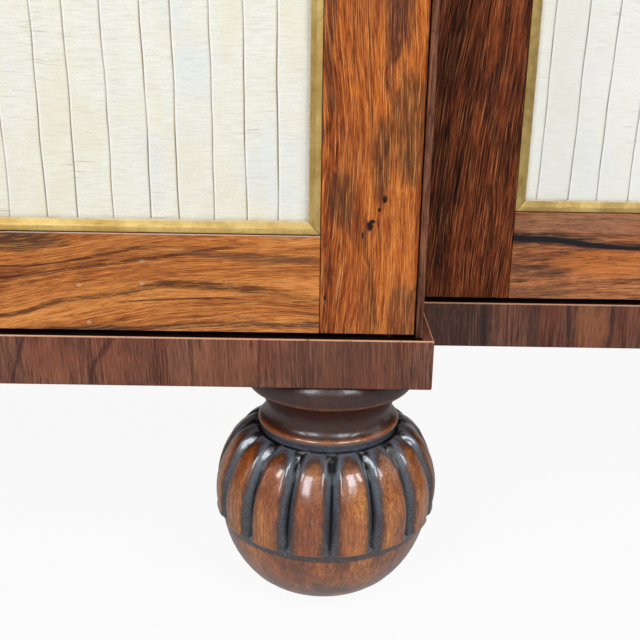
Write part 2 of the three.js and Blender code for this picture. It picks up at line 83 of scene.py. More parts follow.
class Nodes:
    """Short ways to add nodes to a tree. A value is a number, a colour or what another node puts out."""

    def __init__(self, tree):
        self.tree = tree

    def join(self, socket, value):
        if isinstance(value, bpy.types.NodeSocket):
            self.tree.links.new(value, socket)
        else:
            socket.default_value = value

    def add(self, kind, values=None, **settings):
        node = self.tree.nodes.new("ShaderNode" + kind)
        for name, value in settings.items():
            setattr(node, name, value)
        for name, value in (values or {}).items():
            self.join(node.inputs[name], value)
        return node

    def use(self, name, values):
        return self.add("Group", values, node_tree=bpy.data.node_groups[name]).outputs

    def maths(self, operation, *values, clamp=False):
        values = dict(enumerate(values))
        return self.add("Math", values, operation=operation, use_clamp=clamp).outputs[0]

    def times(self, first, *others):
        for other in others:
            first = self.maths("MULTIPLY", first, other)
        return first

    def plus(self, first, *others):
        for other in others:
            first = self.maths("ADD", first, other)
        return first

    def less(self, first, second):
        return self.maths("SUBTRACT", first, second)

    def above(self, value, limit):
        return self.maths("GREATER_THAN", value, limit)

    def unsigned(self, value):
        return self.maths("ABSOLUTE", value)

    def between(self, value, low, high, start=0.0, end=1.0):
        """Runs softly from start to end as the value goes from low to high."""
        values = {"Value": value, "From Min": low, "From Max": high, "To Min": start, "To Max": end}
        return self.add("MapRange", values, interpolation_type="SMOOTHSTEP").outputs[0]

    def axes(self, vector):
        return self.add("SeparateXYZ", {"Vector": vector}).outputs

    def vector(self, x=0.0, y=0.0, z=0.0):
        return self.add("CombineXYZ", {"X": x, "Y": y, "Z": z}).outputs[0]

    def moved(self, vector, offset):
        return self.add("VectorMath", {0: vector, 1: offset}, operation="ADD").outputs[0]

    def stretched(self, vector, scale, turn=0.0, shift=(0, 0, 0)):
        values = {"Vector": vector, "Scale": scale, "Rotation": (0, 0, turn), "Location": shift}
        return self.add("Mapping", values).outputs[0]

    def noise(self, vector, scale=None, detail=2.0, roughness=0.5, turn=0.0, finer=1.0):
        if scale:
            vector = self.stretched(vector, scale, turn)
        values = {"Vector": vector, "Scale": finer, "Detail": detail, "Roughness": roughness}
        return self.add("TexNoise", values).outputs[0]

    def patchy(self, vector, scale, low, high, start=0.0, end=1.0, **noise):
        return self.between(self.noise(vector, scale, **noise), low, high, start, end)

    def mixed(self, share, first, second):
        return self.add("Mix", {"Factor": share, 6: first, 7: second}, data_type="RGBA").outputs[2]

    def tinted(self, colour, tone, *shares):
        """The colour with as much of a tone over it as all the shares together leave."""
        return self.mixed(self.times(*shares), colour, seen(*tone))

    def ramp(self, value, places, tones):
        node = self.add("ValToRGB", {"Fac": value})
        elements = node.color_ramp.elements
        while len(elements) < len(places):
            elements.new(0.5)
        for element, place, tone in zip(elements, places, tones):
            element.position, element.color = place, seen(*tone)
        return node.outputs[0]

    def attribute(self, name, kind="Fac"):
        return self.add("Attribute", attribute_name=name, attribute_type="GEOMETRY").outputs[kind]

    def place(self):
        return self.add("TexCoord").outputs["Object"]


class Group(Nodes):
    """A node group: it is given numbers, or a vector where no number stands, and puts out numbers."""

    def __init__(self, name, inputs, outputs):
        super().__init__(bpy.data.node_groups.new(name, "ShaderNodeTree"))
        new_socket = self.tree.interface.new_socket
        for socket, default in inputs.items():
            if default is None:
                new_socket(socket, in_out="INPUT", socket_type="NodeSocketVector")
            else:
                made = new_socket(socket, in_out="INPUT", socket_type="NodeSocketFloat")
                made.default_value = default
        for socket in outputs:
            new_socket(socket, in_out="OUTPUT", socket_type="NodeSocketFloat")
        self.given = self.tree.nodes.new("NodeGroupInput").outputs
        self.result = self.tree.nodes.new("NodeGroupOutput").inputs

    def give(self, values):
        for name, value in values.items():
            self.join(self.result[name], value)


class Finish(Nodes):
    """A material being made, with the colour that it has so far."""

    def __init__(self, name):
        self.made = bpy.data.materials.new(name)
        self.made.use_nodes = True
        self.colour = WHITE
        super().__init__(self.made.node_tree)

    def tint(self, tone, *shares):
        self.colour = self.tinted(self.colour, tone, *shares)

    def figure(self, grain, turn, wander, band, fibre, streaks, banding=1.7):
        return self.use("wood figure", {"Vector": grain, "Turn": turn, "Wander": wander, "Band Width": band,
                                        "Fibre Width": fibre, "Streaks": streaks, "Banding": banding})

    def grime(self, vector, size, amount):
        return self.use("grime", {"Vector": vector, "Size": size, "Amount": amount})

    def dirty(self, tone, vector, size, amount):
        """Lays half-clear grime of a tone over the colour, and gives where it lies."""
        dirt = self.grime(vector, size, amount)["Dirt"]
        self.colour = self.mixed(dirt, self.colour, self.tinted(self.colour, tone, 0.5))
        return dirt

    # Marks along arrises: wear on most pieces, a painted highlight on the centre rails and the fillets' inner
    # lip.
    def rubbed(self, vector, amount):
        values = {"Arris": self.attribute("arris"), "Vector": vector, "Amount": amount}
        return self.use("arris wear and highlight", values)["Arris Share"]

    def done(self, roughness, height, depth, others):
        """Joins everything to the shader. A height of 1 stands for the depth, in metres."""
        normal = self.add("Bump", {"Height": height, "Distance": depth, "Strength": 1.0}).outputs[0]
        values = {"Base Color": self.colour, "Roughness": roughness, "Normal": normal, **others}
        for name, value in values.items():
            self.join(self.tree.nodes["Principled BSDF"].inputs[name], value)
        return self.made


# What several finishes share: figure, worn edges, grime and ribs


def wood_figure():
    """Figure of a board. The vector's X runs along the grain, Y across it and Z into the board."""
    n = Group("wood figure", {"Vector": None, "Turn": 0.0, "Wander": 0.006, "Band Width": 0.012,
                              "Fibre Width": 0.0012, "Streaks": 0.5, "Banding": 1.7},
              ("Tone", "Fibre", "Dash", "Streak", "Pore", "Height"))
    band, fibre = n.given["Band Width"], n.given["Fibre Width"]
    turned_grain = n.add("VectorRotate", {"Vector": n.given["Vector"], "Angle": n.given["Turn"],
                                          "Axis": (0, 0, 1)}).outputs[0]

    def swing(value, amount):
        return n.times(n.less(value, 0.5), amount)

    def pushed(scale, share):
        return swing(n.noise(turned_grain, scale), n.times(n.given["Wander"], share))

    push = n.plus(pushed((5, 16, 16), 2.6), pushed((24, 70, 70), 0.16))
    parts = n.axes(n.moved(turned_grain, n.vector(y=push)))

    def fibres(along, width_share, width, detail, roughness):
        size = n.times(width, width_share)
        vector = n.vector(n.times(parts[0], along), n.maths("DIVIDE", parts[1], size),
                          n.maths("DIVIDE", parts[2], size))
        return n.noise(vector, detail=detail, roughness=roughness)

    coarse = fibres(44, 1.0, fibre, 2, 0.6)
    tone = n.plus(swing(fibres(4, 1.0, band, 3, 0.55), n.given["Banding"]),
                  swing(fibres(20, 2.3, fibre, 3, 0.6), 1.2), swing(coarse, 0.9),
                  swing(fibres(120, 0.5, fibre, 3, 0.65), 2.1))
    ripple = n.maths("SINE", n.times(fibres(2.6, 2.6, band, 2, 0.45), 58.0))
    line = n.between(n.plus(ripple, swing(coarse, 1.1)), 0.72, 1.0)
    shown = n.between(fibres(3.4, 1.4, band, 2, 0.5), n.less(0.74, n.times(n.given["Streaks"], 0.4)), 0.78)
    pores = n.between(fibres(300, 0.5, fibre, 1, 0.4), 0.66, 0.74)
    n.give({"Tone": n.maths("ADD", tone, 0.5, clamp=True),
            "Fibre": n.between(fibres(36, 0.6, fibre, 2, 0.55), 0.54, 0.7),
            "Dash": n.between(fibres(100, 0.5, fibre, 2, 0.6), 0.55, 0.66),
            "Streak": n.times(line, shown), "Pore": pores,
            "Height": n.less(n.times(coarse, 0.5), n.times(pores, 0.8))})


def arris_wear_and_highlight():
    """Uneven marks along an arris, where the attribute is 1 along the eased edge: wear on most pieces, and a
    painted highlight on the centre rails and the fillets' inner lip.
    """
    n = Group("arris wear and highlight", {"Arris": 0.0, "Vector": None, "Amount": 0.5}, ("Arris Share",))
    kept = n.less(0.85, n.times(n.given["Amount"], 0.7))
    rubbed = n.patchy(n.given["Vector"], (140, 140, 140), kept, n.plus(kept, 0.2), detail=4, roughness=0.6)
    n.give({"Arris Share": n.times(rubbed, n.given["Arris"])})


def grime():
    """Soft dark mottling and tiny marks from age."""
    n = Group("grime", {"Vector": None, "Size": 0.02, "Amount": 0.3}, ("Dirt", "Marks"))
    values = {0: n.given["Vector"], "Scale": n.maths("DIVIDE", 1.0, n.given["Size"])}
    scaled = n.add("VectorMath", values, operation="SCALE").outputs[0]
    clouds = n.patchy(scaled, None, 0.42, 0.7, detail=4, roughness=0.6)
    specks = n.patchy(scaled, None, 0.7, 0.76, finer=9.0)
    n.give({"Dirt": n.times(clouds, n.given["Amount"]), "Marks": n.times(specks, n.given["Amount"])})


def ribbed_silk():
    """Fine ribs across the cloth, with longer and thicker slubs among them."""
    n = Group("ribbed silk", {"Vector": None, "Rib": 0.0009}, ("Rib Tone", "Slub", "Height"))
    parts = n.axes(n.given["Vector"])
    warp_pitch = 0.55 * MM

    def threads(along, width_share):
        down = n.maths("DIVIDE", parts[1], n.times(n.given["Rib"], width_share))
        return n.noise(n.vector(n.times(parts[0], along), down))

    ribs = threads(130, 1.0)
    slubs = n.between(threads(55, 1.5), 0.58, 0.72)
    warp = n.maths("SINE", n.times(parts[0], 2 * math.pi / warp_pitch))
    height = n.plus(ribs, n.times(slubs, 0.8), n.times(warp, 0.06))
    n.give({"Rib Tone": ribs, "Slub": slubs, "Height": height})


# Marks that belong to one board


def patch(n, centre, reach, ragged):
    """A ragged spot, 1 at its centre. The centre and the reach on each axis are in millimetres."""
    place = n.place()
    finer = tuple(2.2 / (size * MM) for size in reach)
    shaken = n.less(n.noise(place, finer, detail=4, roughness=0.6), 0.5)
    shift = tuple(-middle / size for middle, size in zip(centre, reach))
    offset = n.stretched(place, tuple(1 / (size * MM) for size in reach), shift=shift)
    away = n.add("VectorMath", {0: offset}, operation="LENGTH").outputs["Value"]
    return n.between(n.plus(away, n.times(shaken, 2 * ragged)), 1.25, 0.75)


def figure_line(n, run, points, ragged):
    """A dark line of the figure through points (along, across, half width), all in millimetres."""
    place = n.place()
    axes = n.axes(place)
    along, across = (axes[0], axes[2]) if run == "x" else (axes[2], axes[0])
    start, end = points[0][0], points[-1][0]
    low = min(point[1] for point in points) - 1
    high = max(point[1] for point in points) + 1
    share = n.add("MapRange", {"Value": along, "From Min": start * MM, "From Max": end * MM}).outputs[0]

    def curve(heights):
        node = n.add("FloatCurve", {"Value": share})
        handles = node.mapping.curves[0].points
        places = [((point[0] - start) / (end - start), height) for point, height in zip(points, heights)]
        handles[0].location, handles[1].location = places[0], places[-1]
        for middle in places[1:-1]:
            handles.new(*middle)
        node.mapping.update()
        return node.outputs[0]

    level = curve([(point[1] - low) / (high - low) for point in points])
    level = n.maths("MULTIPLY_ADD", level, (high - low) * MM, low * MM)
    width = n.maths("MULTIPLY_ADD", curve([point[2] / 10 for point in points]), 0.01, 0.0001)
    shaken = n.less(n.noise(place, (60, 900, 900) if run == "x" else (900, 900, 60), detail=3), 0.5)
    off = n.maths("DIVIDE", n.unsigned(n.less(across, level)), width)
    inside = n.times(n.between(share, 0.0, 0.12), n.between(share, 1.0, 0.88))
    return n.times(n.between(n.plus(off, n.times(shaken, 4 * ragged)), 1.35, 0.55), inside)


def mark(n, run, lines, patches, broken, solid):
    """Lays the board's own marks over its colour. Solid ones have the share 1, and soft ones are broken."""
    marks = [(figure_line(n, run, points, 0.12 if solid else 0.4), tone, share)
             for tone, share, points in lines if (share == 1) == solid]
    marks += [(patch(n, centre, reach, 0.9 if solid else 0.5), tone, share)
              for tone, share, centre, reach in patches if (share == 1) == solid]
    for shown, tone, share in marks:
        n.tint(tone, *((shown,) if solid else (shown, broken, share)))


# Finishes. These lengths say where looks change: out from the middle, from front to back, and upwards.

GABLE_FACE, PLINTH_EDGE, SIDE_SILK = 414.6 * MM, 421.2 * MM, 430 * MM
INSIDE_FROM, SIDE_STRIP, SETBACK = -197 * MM, -144.6 * MM, 63 * MM
NECK = (98.5 * MM, 100.5 * MM)


def rosewood(name, tones, streak, turn=0.0, wander=0.01, band=0.012, fibre=0.0009, streaks=0.3, bright=0.45,
             dashes=0.5, arris_tone=(205, 140, 85), wear=0.35, run="x", lines=(), patches=(), gloss=0.34,
             shine=0.3, flow=None, arris_tone_above=None, banding=1.7):
    """Tones are four colours from the darkest to the lightest, and a fifth for the thin bright fibres."""
    n = Finish(name)
    grain = running = n.attribute("grain", "Vector")
    if flow:
        start, end, rise = flow
        running = n.moved(grain, n.vector(y=n.between(n.axes(n.place())[0], start, end, 0.0, -rise)))
    figure = n.figure(running, turn, wander, band, fibre, streaks, banding)
    n.colour = n.ramp(figure["Tone"], TONE_PLACES, tones)
    broken = n.patchy(running, (150, 1300, 1300), 0.38, 0.52, 0.45, 1.0, detail=3, roughness=0.6, turn=turn)
    mark(n, run, lines, patches, broken, solid=False)
    n.tint(tones[4], figure["Fibre"], bright)
    n.tint(streak, figure["Streak"], 0.85)
    n.tint(tones[0], figure["Dash"], dashes)
    n.tint(streak, figure["Pore"], 0.6)
    mark(n, run, lines, patches, broken, solid=True)
    dirt = n.dirty(streak, grain, 0.03, 0.35)
    arris_share = n.rubbed(grain, wear)
    # On the centre doors' rails the pale tone on the top arris is a painted highlight; on the other boards it
    # is wear.
    if arris_tone_above:
        arris_share = n.times(arris_share, n.above(n.axes(n.place())[2], arris_tone_above))
    n.tint(arris_tone, arris_share)
    return n.done(n.plus(gloss, n.times(dirt, 0.3)), figure["Height"], 0.00009,
                  {"Specular IOR Level": shine})


def crossbanding(name, tones, arris_tone, wear, arris_tone_above, lines=(), patches=()):
    """Veneer laid with its grain upright, so that its streaks are short and stand side by side."""
    n = Finish(name)
    grain, place = n.attribute("grain", "Vector"), n.place()
    across, depth, level = n.axes(place)
    figure = n.figure(grain, 0.03, 0.0025, 0.016, 0.0008, 0.6)
    n.colour = n.ramp(figure["Tone"], TONE_PLACES, tones)
    n.tint((140, 66, 42), n.patchy(place, (26, 26, 22), 0.46, 0.66, detail=3), 0.4)
    broken = n.patchy(grain, (220, 1500, 1500), 0.36, 0.5, 0.55, 1.0, detail=3, roughness=0.6)
    mark(n, "z", lines, patches, broken, solid=False)
    n.tint(tones[4], figure["Fibre"], 0.35)
    n.tint((46, 26, 24), figure["Streak"], 0.75)
    n.tint((54, 30, 26), figure["Dash"], 0.5)
    dirt = n.dirty((50, 34, 32), place, 0.022, 0.5)
    n.tint(arris_tone, n.rubbed(place, wear), n.above(level, arris_tone_above))
    upward = n.between(n.axes(n.add("NewGeometry").outputs["Normal"])[2], 0.93, 0.99)
    out = n.unsigned(across)
    at_side = n.above(out, GABLE_FACE)
    beside_gable = n.times(at_side, n.maths("LESS_THAN", depth, SIDE_STRIP))
    inside = n.above(depth, n.maths("MULTIPLY_ADD", at_side, SETBACK, INSIDE_FROM))
    floor_tone = n.mixed(dirt, seen(104, 70, 48), seen(76, 50, 36))
    n.colour = n.mixed(n.times(upward, inside), n.colour, floor_tone)
    # Painted shade: near black on the upward faces in front of and under the doors, on the ledge and in the
    # gap below them.
    painted_shade_under_door = n.times(n.less(1.0, inside), n.less(1.0, beside_gable))
    n.tint((24, 14, 12), upward, painted_shade_under_door)
    n.tint((36, 24, 24), n.above(out, PLINTH_EDGE), 0.22)
    return n.done(n.plus(0.42, n.times(dirt, 0.3)), figure["Height"], 0.00008,
                  {"Specular IOR Level": 0.3})


def carved_rosewood():
    """The feet: warm wood on the high places and dark patina in the grooves and the cove, with painted shade
    under the rim, in the ditch and at the bottom of the grooves, and a painted reflection on the upper
    grooves.
    """
    n = Finish("carved rosewood")
    place = n.place()
    across, depth, level = n.axes(place)
    figure = n.figure(n.vector(level, across, depth), 0.0, 0.004, 0.02, 0.0009, 0.0)
    tones = [(88, 42, 16), (148, 78, 27), (192, 108, 40), (226, 146, 68)]
    n.colour = n.ramp(figure["Tone"], (0.0, 0.3, 0.65, 1.0), tones)
    n.tint((150, 64, 22), n.patchy(place, (30, 30, 30), 0.42, 0.62), 0.4)
    blotches = n.patchy(place, (55, 55, 70), 0.46, 0.66, detail=4)
    n.tint((80, 48, 32), blotches, n.between(level, 0.0464, 0.0452, 0.15, 0.8))
    n.tint((62, 32, 18), figure["Dash"], 0.5)
    recess = n.attribute("recess")
    rough_edge = n.noise(place, (380, 380, 240), detail=4, roughness=0.65)
    deep = n.plus(recess, n.times(n.less(rough_edge, 0.5), 0.5))
    n.tint((44, 18, 11), n.between(deep, 0.12, 0.45), 0.85)
    n.tint((52, 21, 12), n.between(level, *NECK, 0.0, 0.8))
    speckle = n.noise(place, (1500, 1500, 1500))
    # The patina's blue-grey is partly a painted reflection of the sky, and it lightens higher up as a painted
    # reflection. Where the recess is deepest, at the bottom of the grooves, on the rim and in the ditch, it
    # turns near black as painted shade.
    dark = n.mixed(n.between(speckle, 0.42, 0.68), seen(46, 48, 55), seen(96, 100, 110))
    dark = n.tinted(dark, (124, 130, 142), n.between(level, 0.06, 0.084, 0.0, 0.4))
    dark = n.tinted(dark, (17, 17, 20), n.between(recess, 0.7, 0.97))
    patina_and_shade = n.times(n.between(deep, 0.34, 0.6), n.between(level, 0.096, NECK[0], 1.0, 0.15))
    n.colour = n.mixed(patina_and_shade, n.colour, dark)
    n.dirty((48, 26, 20), place, 0.012, 0.45)
    n.tint((176, 96, 46), n.rubbed(place, 0.85), 0.5)
    height = n.plus(n.times(figure["Height"], 0.2), n.noise(place, (120, 120, 70)), n.times(speckle, 0.1))
    polish = {"Coat Weight": n.between(level, *NECK, 1.0, 0.35), "Coat Roughness": 0.13, "Coat IOR": 1.75}
    return n.done(n.between(deep, 0.2, 0.8, 0.34, 0.28), height, 0.0006,
                  {"Specular IOR Level": 0.7, **polish})


def carcass_wood():
    """Plain softer wood for the inside and the back, in joined boards, dusty and hardly polished."""
    n = Finish("carcass wood")
    grain = n.attribute("grain", "Vector")
    parts = n.axes(grain)
    board_width = 0.163
    boards = n.maths("DIVIDE", parts[1], board_width)
    number = n.maths("FLOOR", boards)
    shifted = n.vector(n.maths("MULTIPLY_ADD", number, 3.7, parts[0]), parts[1], parts[2])
    figure = n.figure(shifted, 0.0, 0.004, 0.03, 0.0019, 0.6, 1.4)
    n.colour = n.ramp(figure["Tone"], (0.0, 0.5, 1.0), [(128, 80, 42), (176, 124, 74), (212, 168, 114)])
    n.tint((116, 68, 34), figure["Streak"], 0.75)
    own_tone = n.add("TexWhiteNoise", {"W": number}, noise_dimensions="1D").outputs["Value"]
    n.tint((140, 92, 54), own_tone, 0.3)
    dirt = n.grime(grain, 0.05, 0.22)["Dirt"]
    n.tint((116, 84, 56), dirt)
    joint = n.between(n.unsigned(n.less(n.maths("FRACT", boards), 0.5)), 0.494, 0.4965)
    n.tint((52, 32, 20), joint, 0.85)
    return n.done(n.plus(0.6, n.times(dirt, 0.3)), n.less(figure["Height"], n.times(joint, 4.0)),
                  0.00012, {})


def ivory_silk():
    """Ribbed silk, a little aged and uneven, with painted shade where a fold tucks under the next and a
    painted highlight along each fold's front edge.
    """
    n = Finish("ivory silk")
    cloth, place = n.add("UVMap", uv_map="cloth").outputs[0], n.place()
    weave = n.use("ribbed silk", {"Vector": cloth})
    tones = [(232, 225, 206), (243, 238, 222), (249, 246, 235)]
    n.colour = n.ramp(weave["Rib Tone"], (0.25, 0.5, 0.8), tones)
    n.tint((226, 217, 196), weave["Slub"], 0.5)
    n.dirty((236, 222, 188), place, 0.03, 0.5)
    n.tint((226, 230, 238), n.patchy(place, (34, 34, 26), 0.5, 0.68, detail=3), 0.4)
    n.tint((240, 226, 190), n.patchy(place, (42, 42, 22), 0.52, 0.7, detail=3), 0.4)
    threads = n.patchy(cloth, (1300, 1500, 1500), 0.5, 0.68, 0.0, 0.35, roughness=0.6)
    n.tint((214, 205, 186), threads)
    # Painted shade in each tuck, and a painted highlight along each fold's front edge.
    tuck_shade_and_highlight = n.attribute("tuck")
    uneven = n.patchy(place, (30, 30, 24), 0.36, 0.6, 0.4, 0.95, detail=3)
    n.tint((166, 142, 100), n.between(tuck_shade_and_highlight, 0.0, 1.0), uneven)
    n.tint((255, 253, 248), n.between(tuck_shade_and_highlight, 0.0, -1.0, 0.0, 0.8))
    n.tint((255, 253, 246), n.above(n.unsigned(n.axes(place)[0]), SIDE_SILK), 0.4)
    crumple = n.noise(place, (160, 160, 110), detail=3)
    puckers = n.times(n.patchy(place, (75, 75, 460), 0.58, 0.7), n.patchy(place, (30, 30, 34), 0.5, 0.66))
    height = n.plus(n.times(weave["Height"], 0.5), n.times(crumple, 1.6), n.times(puckers, 2.2))
    return n.done(0.62, height, 0.00014, {"Sheen Weight": 0.25, "Sheen Roughness": 0.4})


def old_brass(name, bright, dull, tarnish, roughness):
    """Brass with clouds of tarnish, fine scores along each length, and edges that are rubbed bright; on the
    fillets' inner lip the bright line is a painted highlight.
    """
    n = Finish(name)
    place, grain = n.place(), n.attribute("grain", "Vector")
    clouds = n.patchy(place, (60, 60, 60), 0.38, 0.66, detail=4, roughness=0.65)
    n.colour = n.mixed(clouds, seen(*bright), seen(*dull))
    marks = n.grime(place, 0.005, 0.7)
    tarnished = n.tinted(n.colour, (110, 84, 44), tarnish)
    n.colour = n.mixed(n.times(marks["Dirt"], 0.5), n.colour, tarnished)
    n.tint((66, 48, 26), marks["Marks"])
    n.tint((112, 84, 40), n.patchy(grain, (70, 2600, 2600), 0.6, 0.7), 0.5)
    n.tint((246, 236, 214), n.rubbed(place, 0.8), 0.5)
    scratches = n.noise(grain, (60, 1500, 1500), detail=3, roughness=0.7)
    return n.done(n.plus(roughness, n.times(scratches, 0.2)),
                  n.less(n.times(scratches, 0.5), marks["Marks"]), 0.00005, {"Metallic": 0.72})


# Camera, light and floor


def pale_floor():
    """Lit like a studio sweep: it stays pale to the eye, with only a faint shade under the feet."""
    n = Finish("pale floor")
    n.tree.nodes.remove(n.tree.nodes["Principled BSDF"])
    path = n.add("LightPath").outputs
    diffuse = n.add("BsdfDiffuse", {"Color": (0.82, 0.82, 0.82, 1)}).outputs[0]
    glow, mirrored = (n.add("Emission", {"Color": WHITE, "Strength": strength}).outputs[0]
                      for strength in (1.0, 0.3))
    direct = n.add("MixShader", {0: n.times(path["Is Camera Ray"], 0.93), 1: diffuse, 2: glow}).outputs[0]
    surface = n.add("MixShader", {0: n.times(path["Is Glossy Ray"], 0.8), 1: direct, 2: mirrored}).outputs[0]
    n.join(n.tree.nodes["Material Output"].inputs["Surface"], surface)
    return n.made


def softbox(name, place, target, size, power, colour):
    light = bpy.data.lights.new(name, "AREA")
    light.shape = "RECTANGLE"
    light.size, light.size_y = size
    light.energy, light.color = power, colour
    lamp = bpy.data.objects.new(name, light)
    bpy.context.collection.objects.link(lamp)
    facing = (Vector(target) - Vector(place)).to_track_quat("-Z", "Y")
    lamp.matrix_world = Matrix.Translation(place) @ facing.to_matrix().to_4x4()


def light_the_room():
    """Tall windows in front, whose images lie on the polished foot, and soft light from every side."""
    world = bpy.data.worlds.new("studio")
    bpy.context.scene.world = world
    world.use_nodes = True
    n = Nodes(world.node_tree)
    background = n.tree.nodes["Background"].inputs
    n.join(background["Color"], WHITE)
    to_camera = n.add("LightPath").outputs["Is Camera Ray"]
    n.join(background["Strength"], n.between(to_camera, 0.0, 1.0, 0.24, 1.0))
    windows = [("window_left", (-0.32, -1.45, 1.08), (0.46, 0.82), 7.6),
               ("window_right", (1.0, -1.4, 1.16), (0.46, 0.82), 8.4),
               ("side_window_left", (-0.8, -1.1, 1.24), (0.26, 0.6), 4.2),
               ("side_window_right", (1.52, -1.1, 1.24), (0.26, 0.6), 4.2)]
    for name, place, size, power in windows:
        softbox(name, place, (0.36, -0.18, 0.2), size, power, (0.88, 0.94, 1.0))
    warm = (1.0, 0.97, 0.93)
    softbox("front_fill", (0.1, -2.9, 1.8), (0, 0, 0.6), (3.2, 2.2), 6.0, (1.0, 0.95, 0.88))
    softbox("side_fill_left", (-3.0, 0.3, 1.5), (0, 0.1, 0.6), (2.2, 1.8), 9.0, warm)
    softbox("side_fill_right", (3.0, 0.3, 1.5), (0, 0.1, 0.6), (2.2, 1.8), 9.0, warm)
    softbox("back_fill", (0.2, 2.8, 1.8), (0, 0.2, 0.6), (3.2, 2.2), 16.0, warm)
    bpy.context.scene.view_settings.view_transform = "Standard"


def place_camera():
    """Where the photograph was taken from: close to the centre's right-hand corner, looking down."""
    camera = bpy.data.objects.new("camera", bpy.data.cameras.new("camera"))
    bpy.context.collection.objects.link(camera)
    camera.data.sensor_width, camera.data.lens, camera.data.clip_start = 36, 50.006, 0.01
    tilt = Euler((math.radians(90 - 18.24), 0, -math.radians(0.05)), "XYZ").to_matrix()
    roll = Matrix.Rotation(math.radians(0.89), 3, "Z")
    camera.matrix_world = Matrix.Translation((0.36558, -0.60052, 0.29504)) @ (tilt @ roll).to_4x4()
    bpy.context.scene.camera = camera


# Small tools for modelling


def mode(name):
    bpy.ops.object.mode_set(mode=name)


def pick_all():
    bpy.ops.mesh.select_all(action="SELECT")


def take(obj):
    """Makes this the only selected object, and the active one."""
    if bpy.context.object and bpy.context.object.mode != "OBJECT":
        mode("OBJECT")
    bpy.ops.object.select_all(action="DESELECT")
    if obj:
        obj.select_set(True)
        bpy.context.view_layer.objects.active = obj


def begin(kind, name, **settings):
    """Adds a primitive and opens it for modelling, all of it selected."""
    take(None)
    getattr(bpy.ops.mesh, f"primitive_{kind}_add")(**settings)
    obj = bpy.context.object
    obj.name = obj.data.name = name
    mode("EDIT")
    bpy.ops.mesh.select_mode(type="VERT")
    pick_all()
    return obj


def close(obj, smooth=35.0):
    """Ends modelling: merges doubles, turns faces outwards, and puts the object's place in its mesh."""
    take(obj)
    mode("EDIT")
    pick_all()
    bpy.ops.mesh.remove_doubles(threshold=1e-6)
    bpy.ops.mesh.normals_make_consistent(inside=False)
    mode("OBJECT")
    bpy.ops.object.transform_apply(location=True, rotation=True, scale=True)
    bpy.ops.object.shade_smooth_by_angle(angle=math.radians(smooth))
    return obj


def pick(obj, kind, rule):
    """Selects, in edit mode, only what the rule picks."""
    bpy.ops.mesh.select_mode(type=kind)
    bpy.ops.mesh.select_all(action="DESELECT")
    mesh = bmesh.from_edit_mesh(obj.data)
    for item in {"VERT": mesh.verts, "EDGE": mesh.edges}[kind]:
        if rule(item):
            item.select_set(True)
    bmesh.update_edit_mesh(obj.data)


def chain(name, points):
    """A run of joined points, open for modelling and all selected."""
    obj = begin("plane", name, size=MM)
    bpy.ops.mesh.merge(type="CENTER")
    bpy.ops.transform.translate(value=points[0])
    for start, end in zip(points, points[1:]):
        step = tuple(b - a for a, b in zip(start, end))
        bpy.ops.mesh.extrude_vertices_move(TRANSFORM_OT_translate={"value": step})
    pick_all()
    return obj


def fill_and_push(step):
    """Fills a closed run of points and gives it a thickness."""
    bpy.ops.mesh.edge_face_add()
    pick_all()
    bpy.ops.mesh.extrude_region_move(TRANSFORM_OT_translate={"value": step})


def spun(name, profile, steps, angle):
    """A profile of (radius, level) points in millimetres, carried round the Z axis."""
    obj = chain(name, [(radius * MM, 0, level * MM) for radius, level in profile])
    bpy.ops.mesh.spin(steps=steps, angle=angle, center=(0, 0, 0), axis=(0, 0, 1))
    return close(obj)


def copy_of(obj, name, move=(0, 0, 0), turn=0.0):
    made = bpy.data.objects.new(name, obj.data.copy())
    bpy.context.collection.objects.link(made)
    made.data.transform(Matrix.Translation(move) @ Matrix.Rotation(turn, 4, "Z"))
    return made


def joined(name, objects):
    take(objects[0])
    for obj in objects:
        obj.select_set(True)
    bpy.ops.object.join()
    objects[0].name = objects[0].data.name = name
    return objects[0]


def wire(obj, radius, rounds):
    """Gives a run of joined points a round section."""
    name = obj.name
    mode("OBJECT")
    take(obj)
    bpy.ops.object.convert(target="CURVE")
    curve = bpy.context.object.data
    curve.bevel_depth, curve.bevel_resolution, curve.use_fill_caps = radius, rounds, True
    bpy.ops.object.convert(target="MESH")
    made = close(bpy.context.object)
    made.name = name
    return made


def store(obj, name, values):
    """Keeps a value for every point of the mesh, for the materials to read."""
    obj.data.attributes.new(name, "FLOAT", "POINT").data.foreach_set("value", values)


def weigh_normals(obj):
    """Keeps wide faces flat beside their eased edges."""
    take(obj)
    bpy.ops.object.modifier_add(type="WEIGHTED_NORMAL")
    obj.modifiers[-1].keep_sharp = True
    bpy.ops.object.modifier_apply(modifier=obj.modifiers[-1].name)


def lay_grain(obj, along, seed):
    """Stores each point's place as along the grain, across it and into the board, from a start of its own."""
    order = {"x": (0, 2, 1), "z": (2, 0, 1)}[along]
    draw = random.Random(seed)
    start = [draw.uniform(-3, 3) for _ in range(3)]
    values = []
    for vertex in obj.data.vertices:
        values += [vertex.co[axis] + start[k] for k, axis in enumerate(order)]
    obj.data.attributes.new("grain", "FLOAT_VECTOR", "POINT").data.foreach_set("vector", values)


def dress(obj, finish, slot, body, *replaced):
    """Gives the piece its one material, and says what it rides on and what it replaces. The slot is not used.
    """
    obj.data.materials.clear()
    obj.data.materials.append(finish)
    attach(obj, body)
    if replaced:
        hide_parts(*replaced)


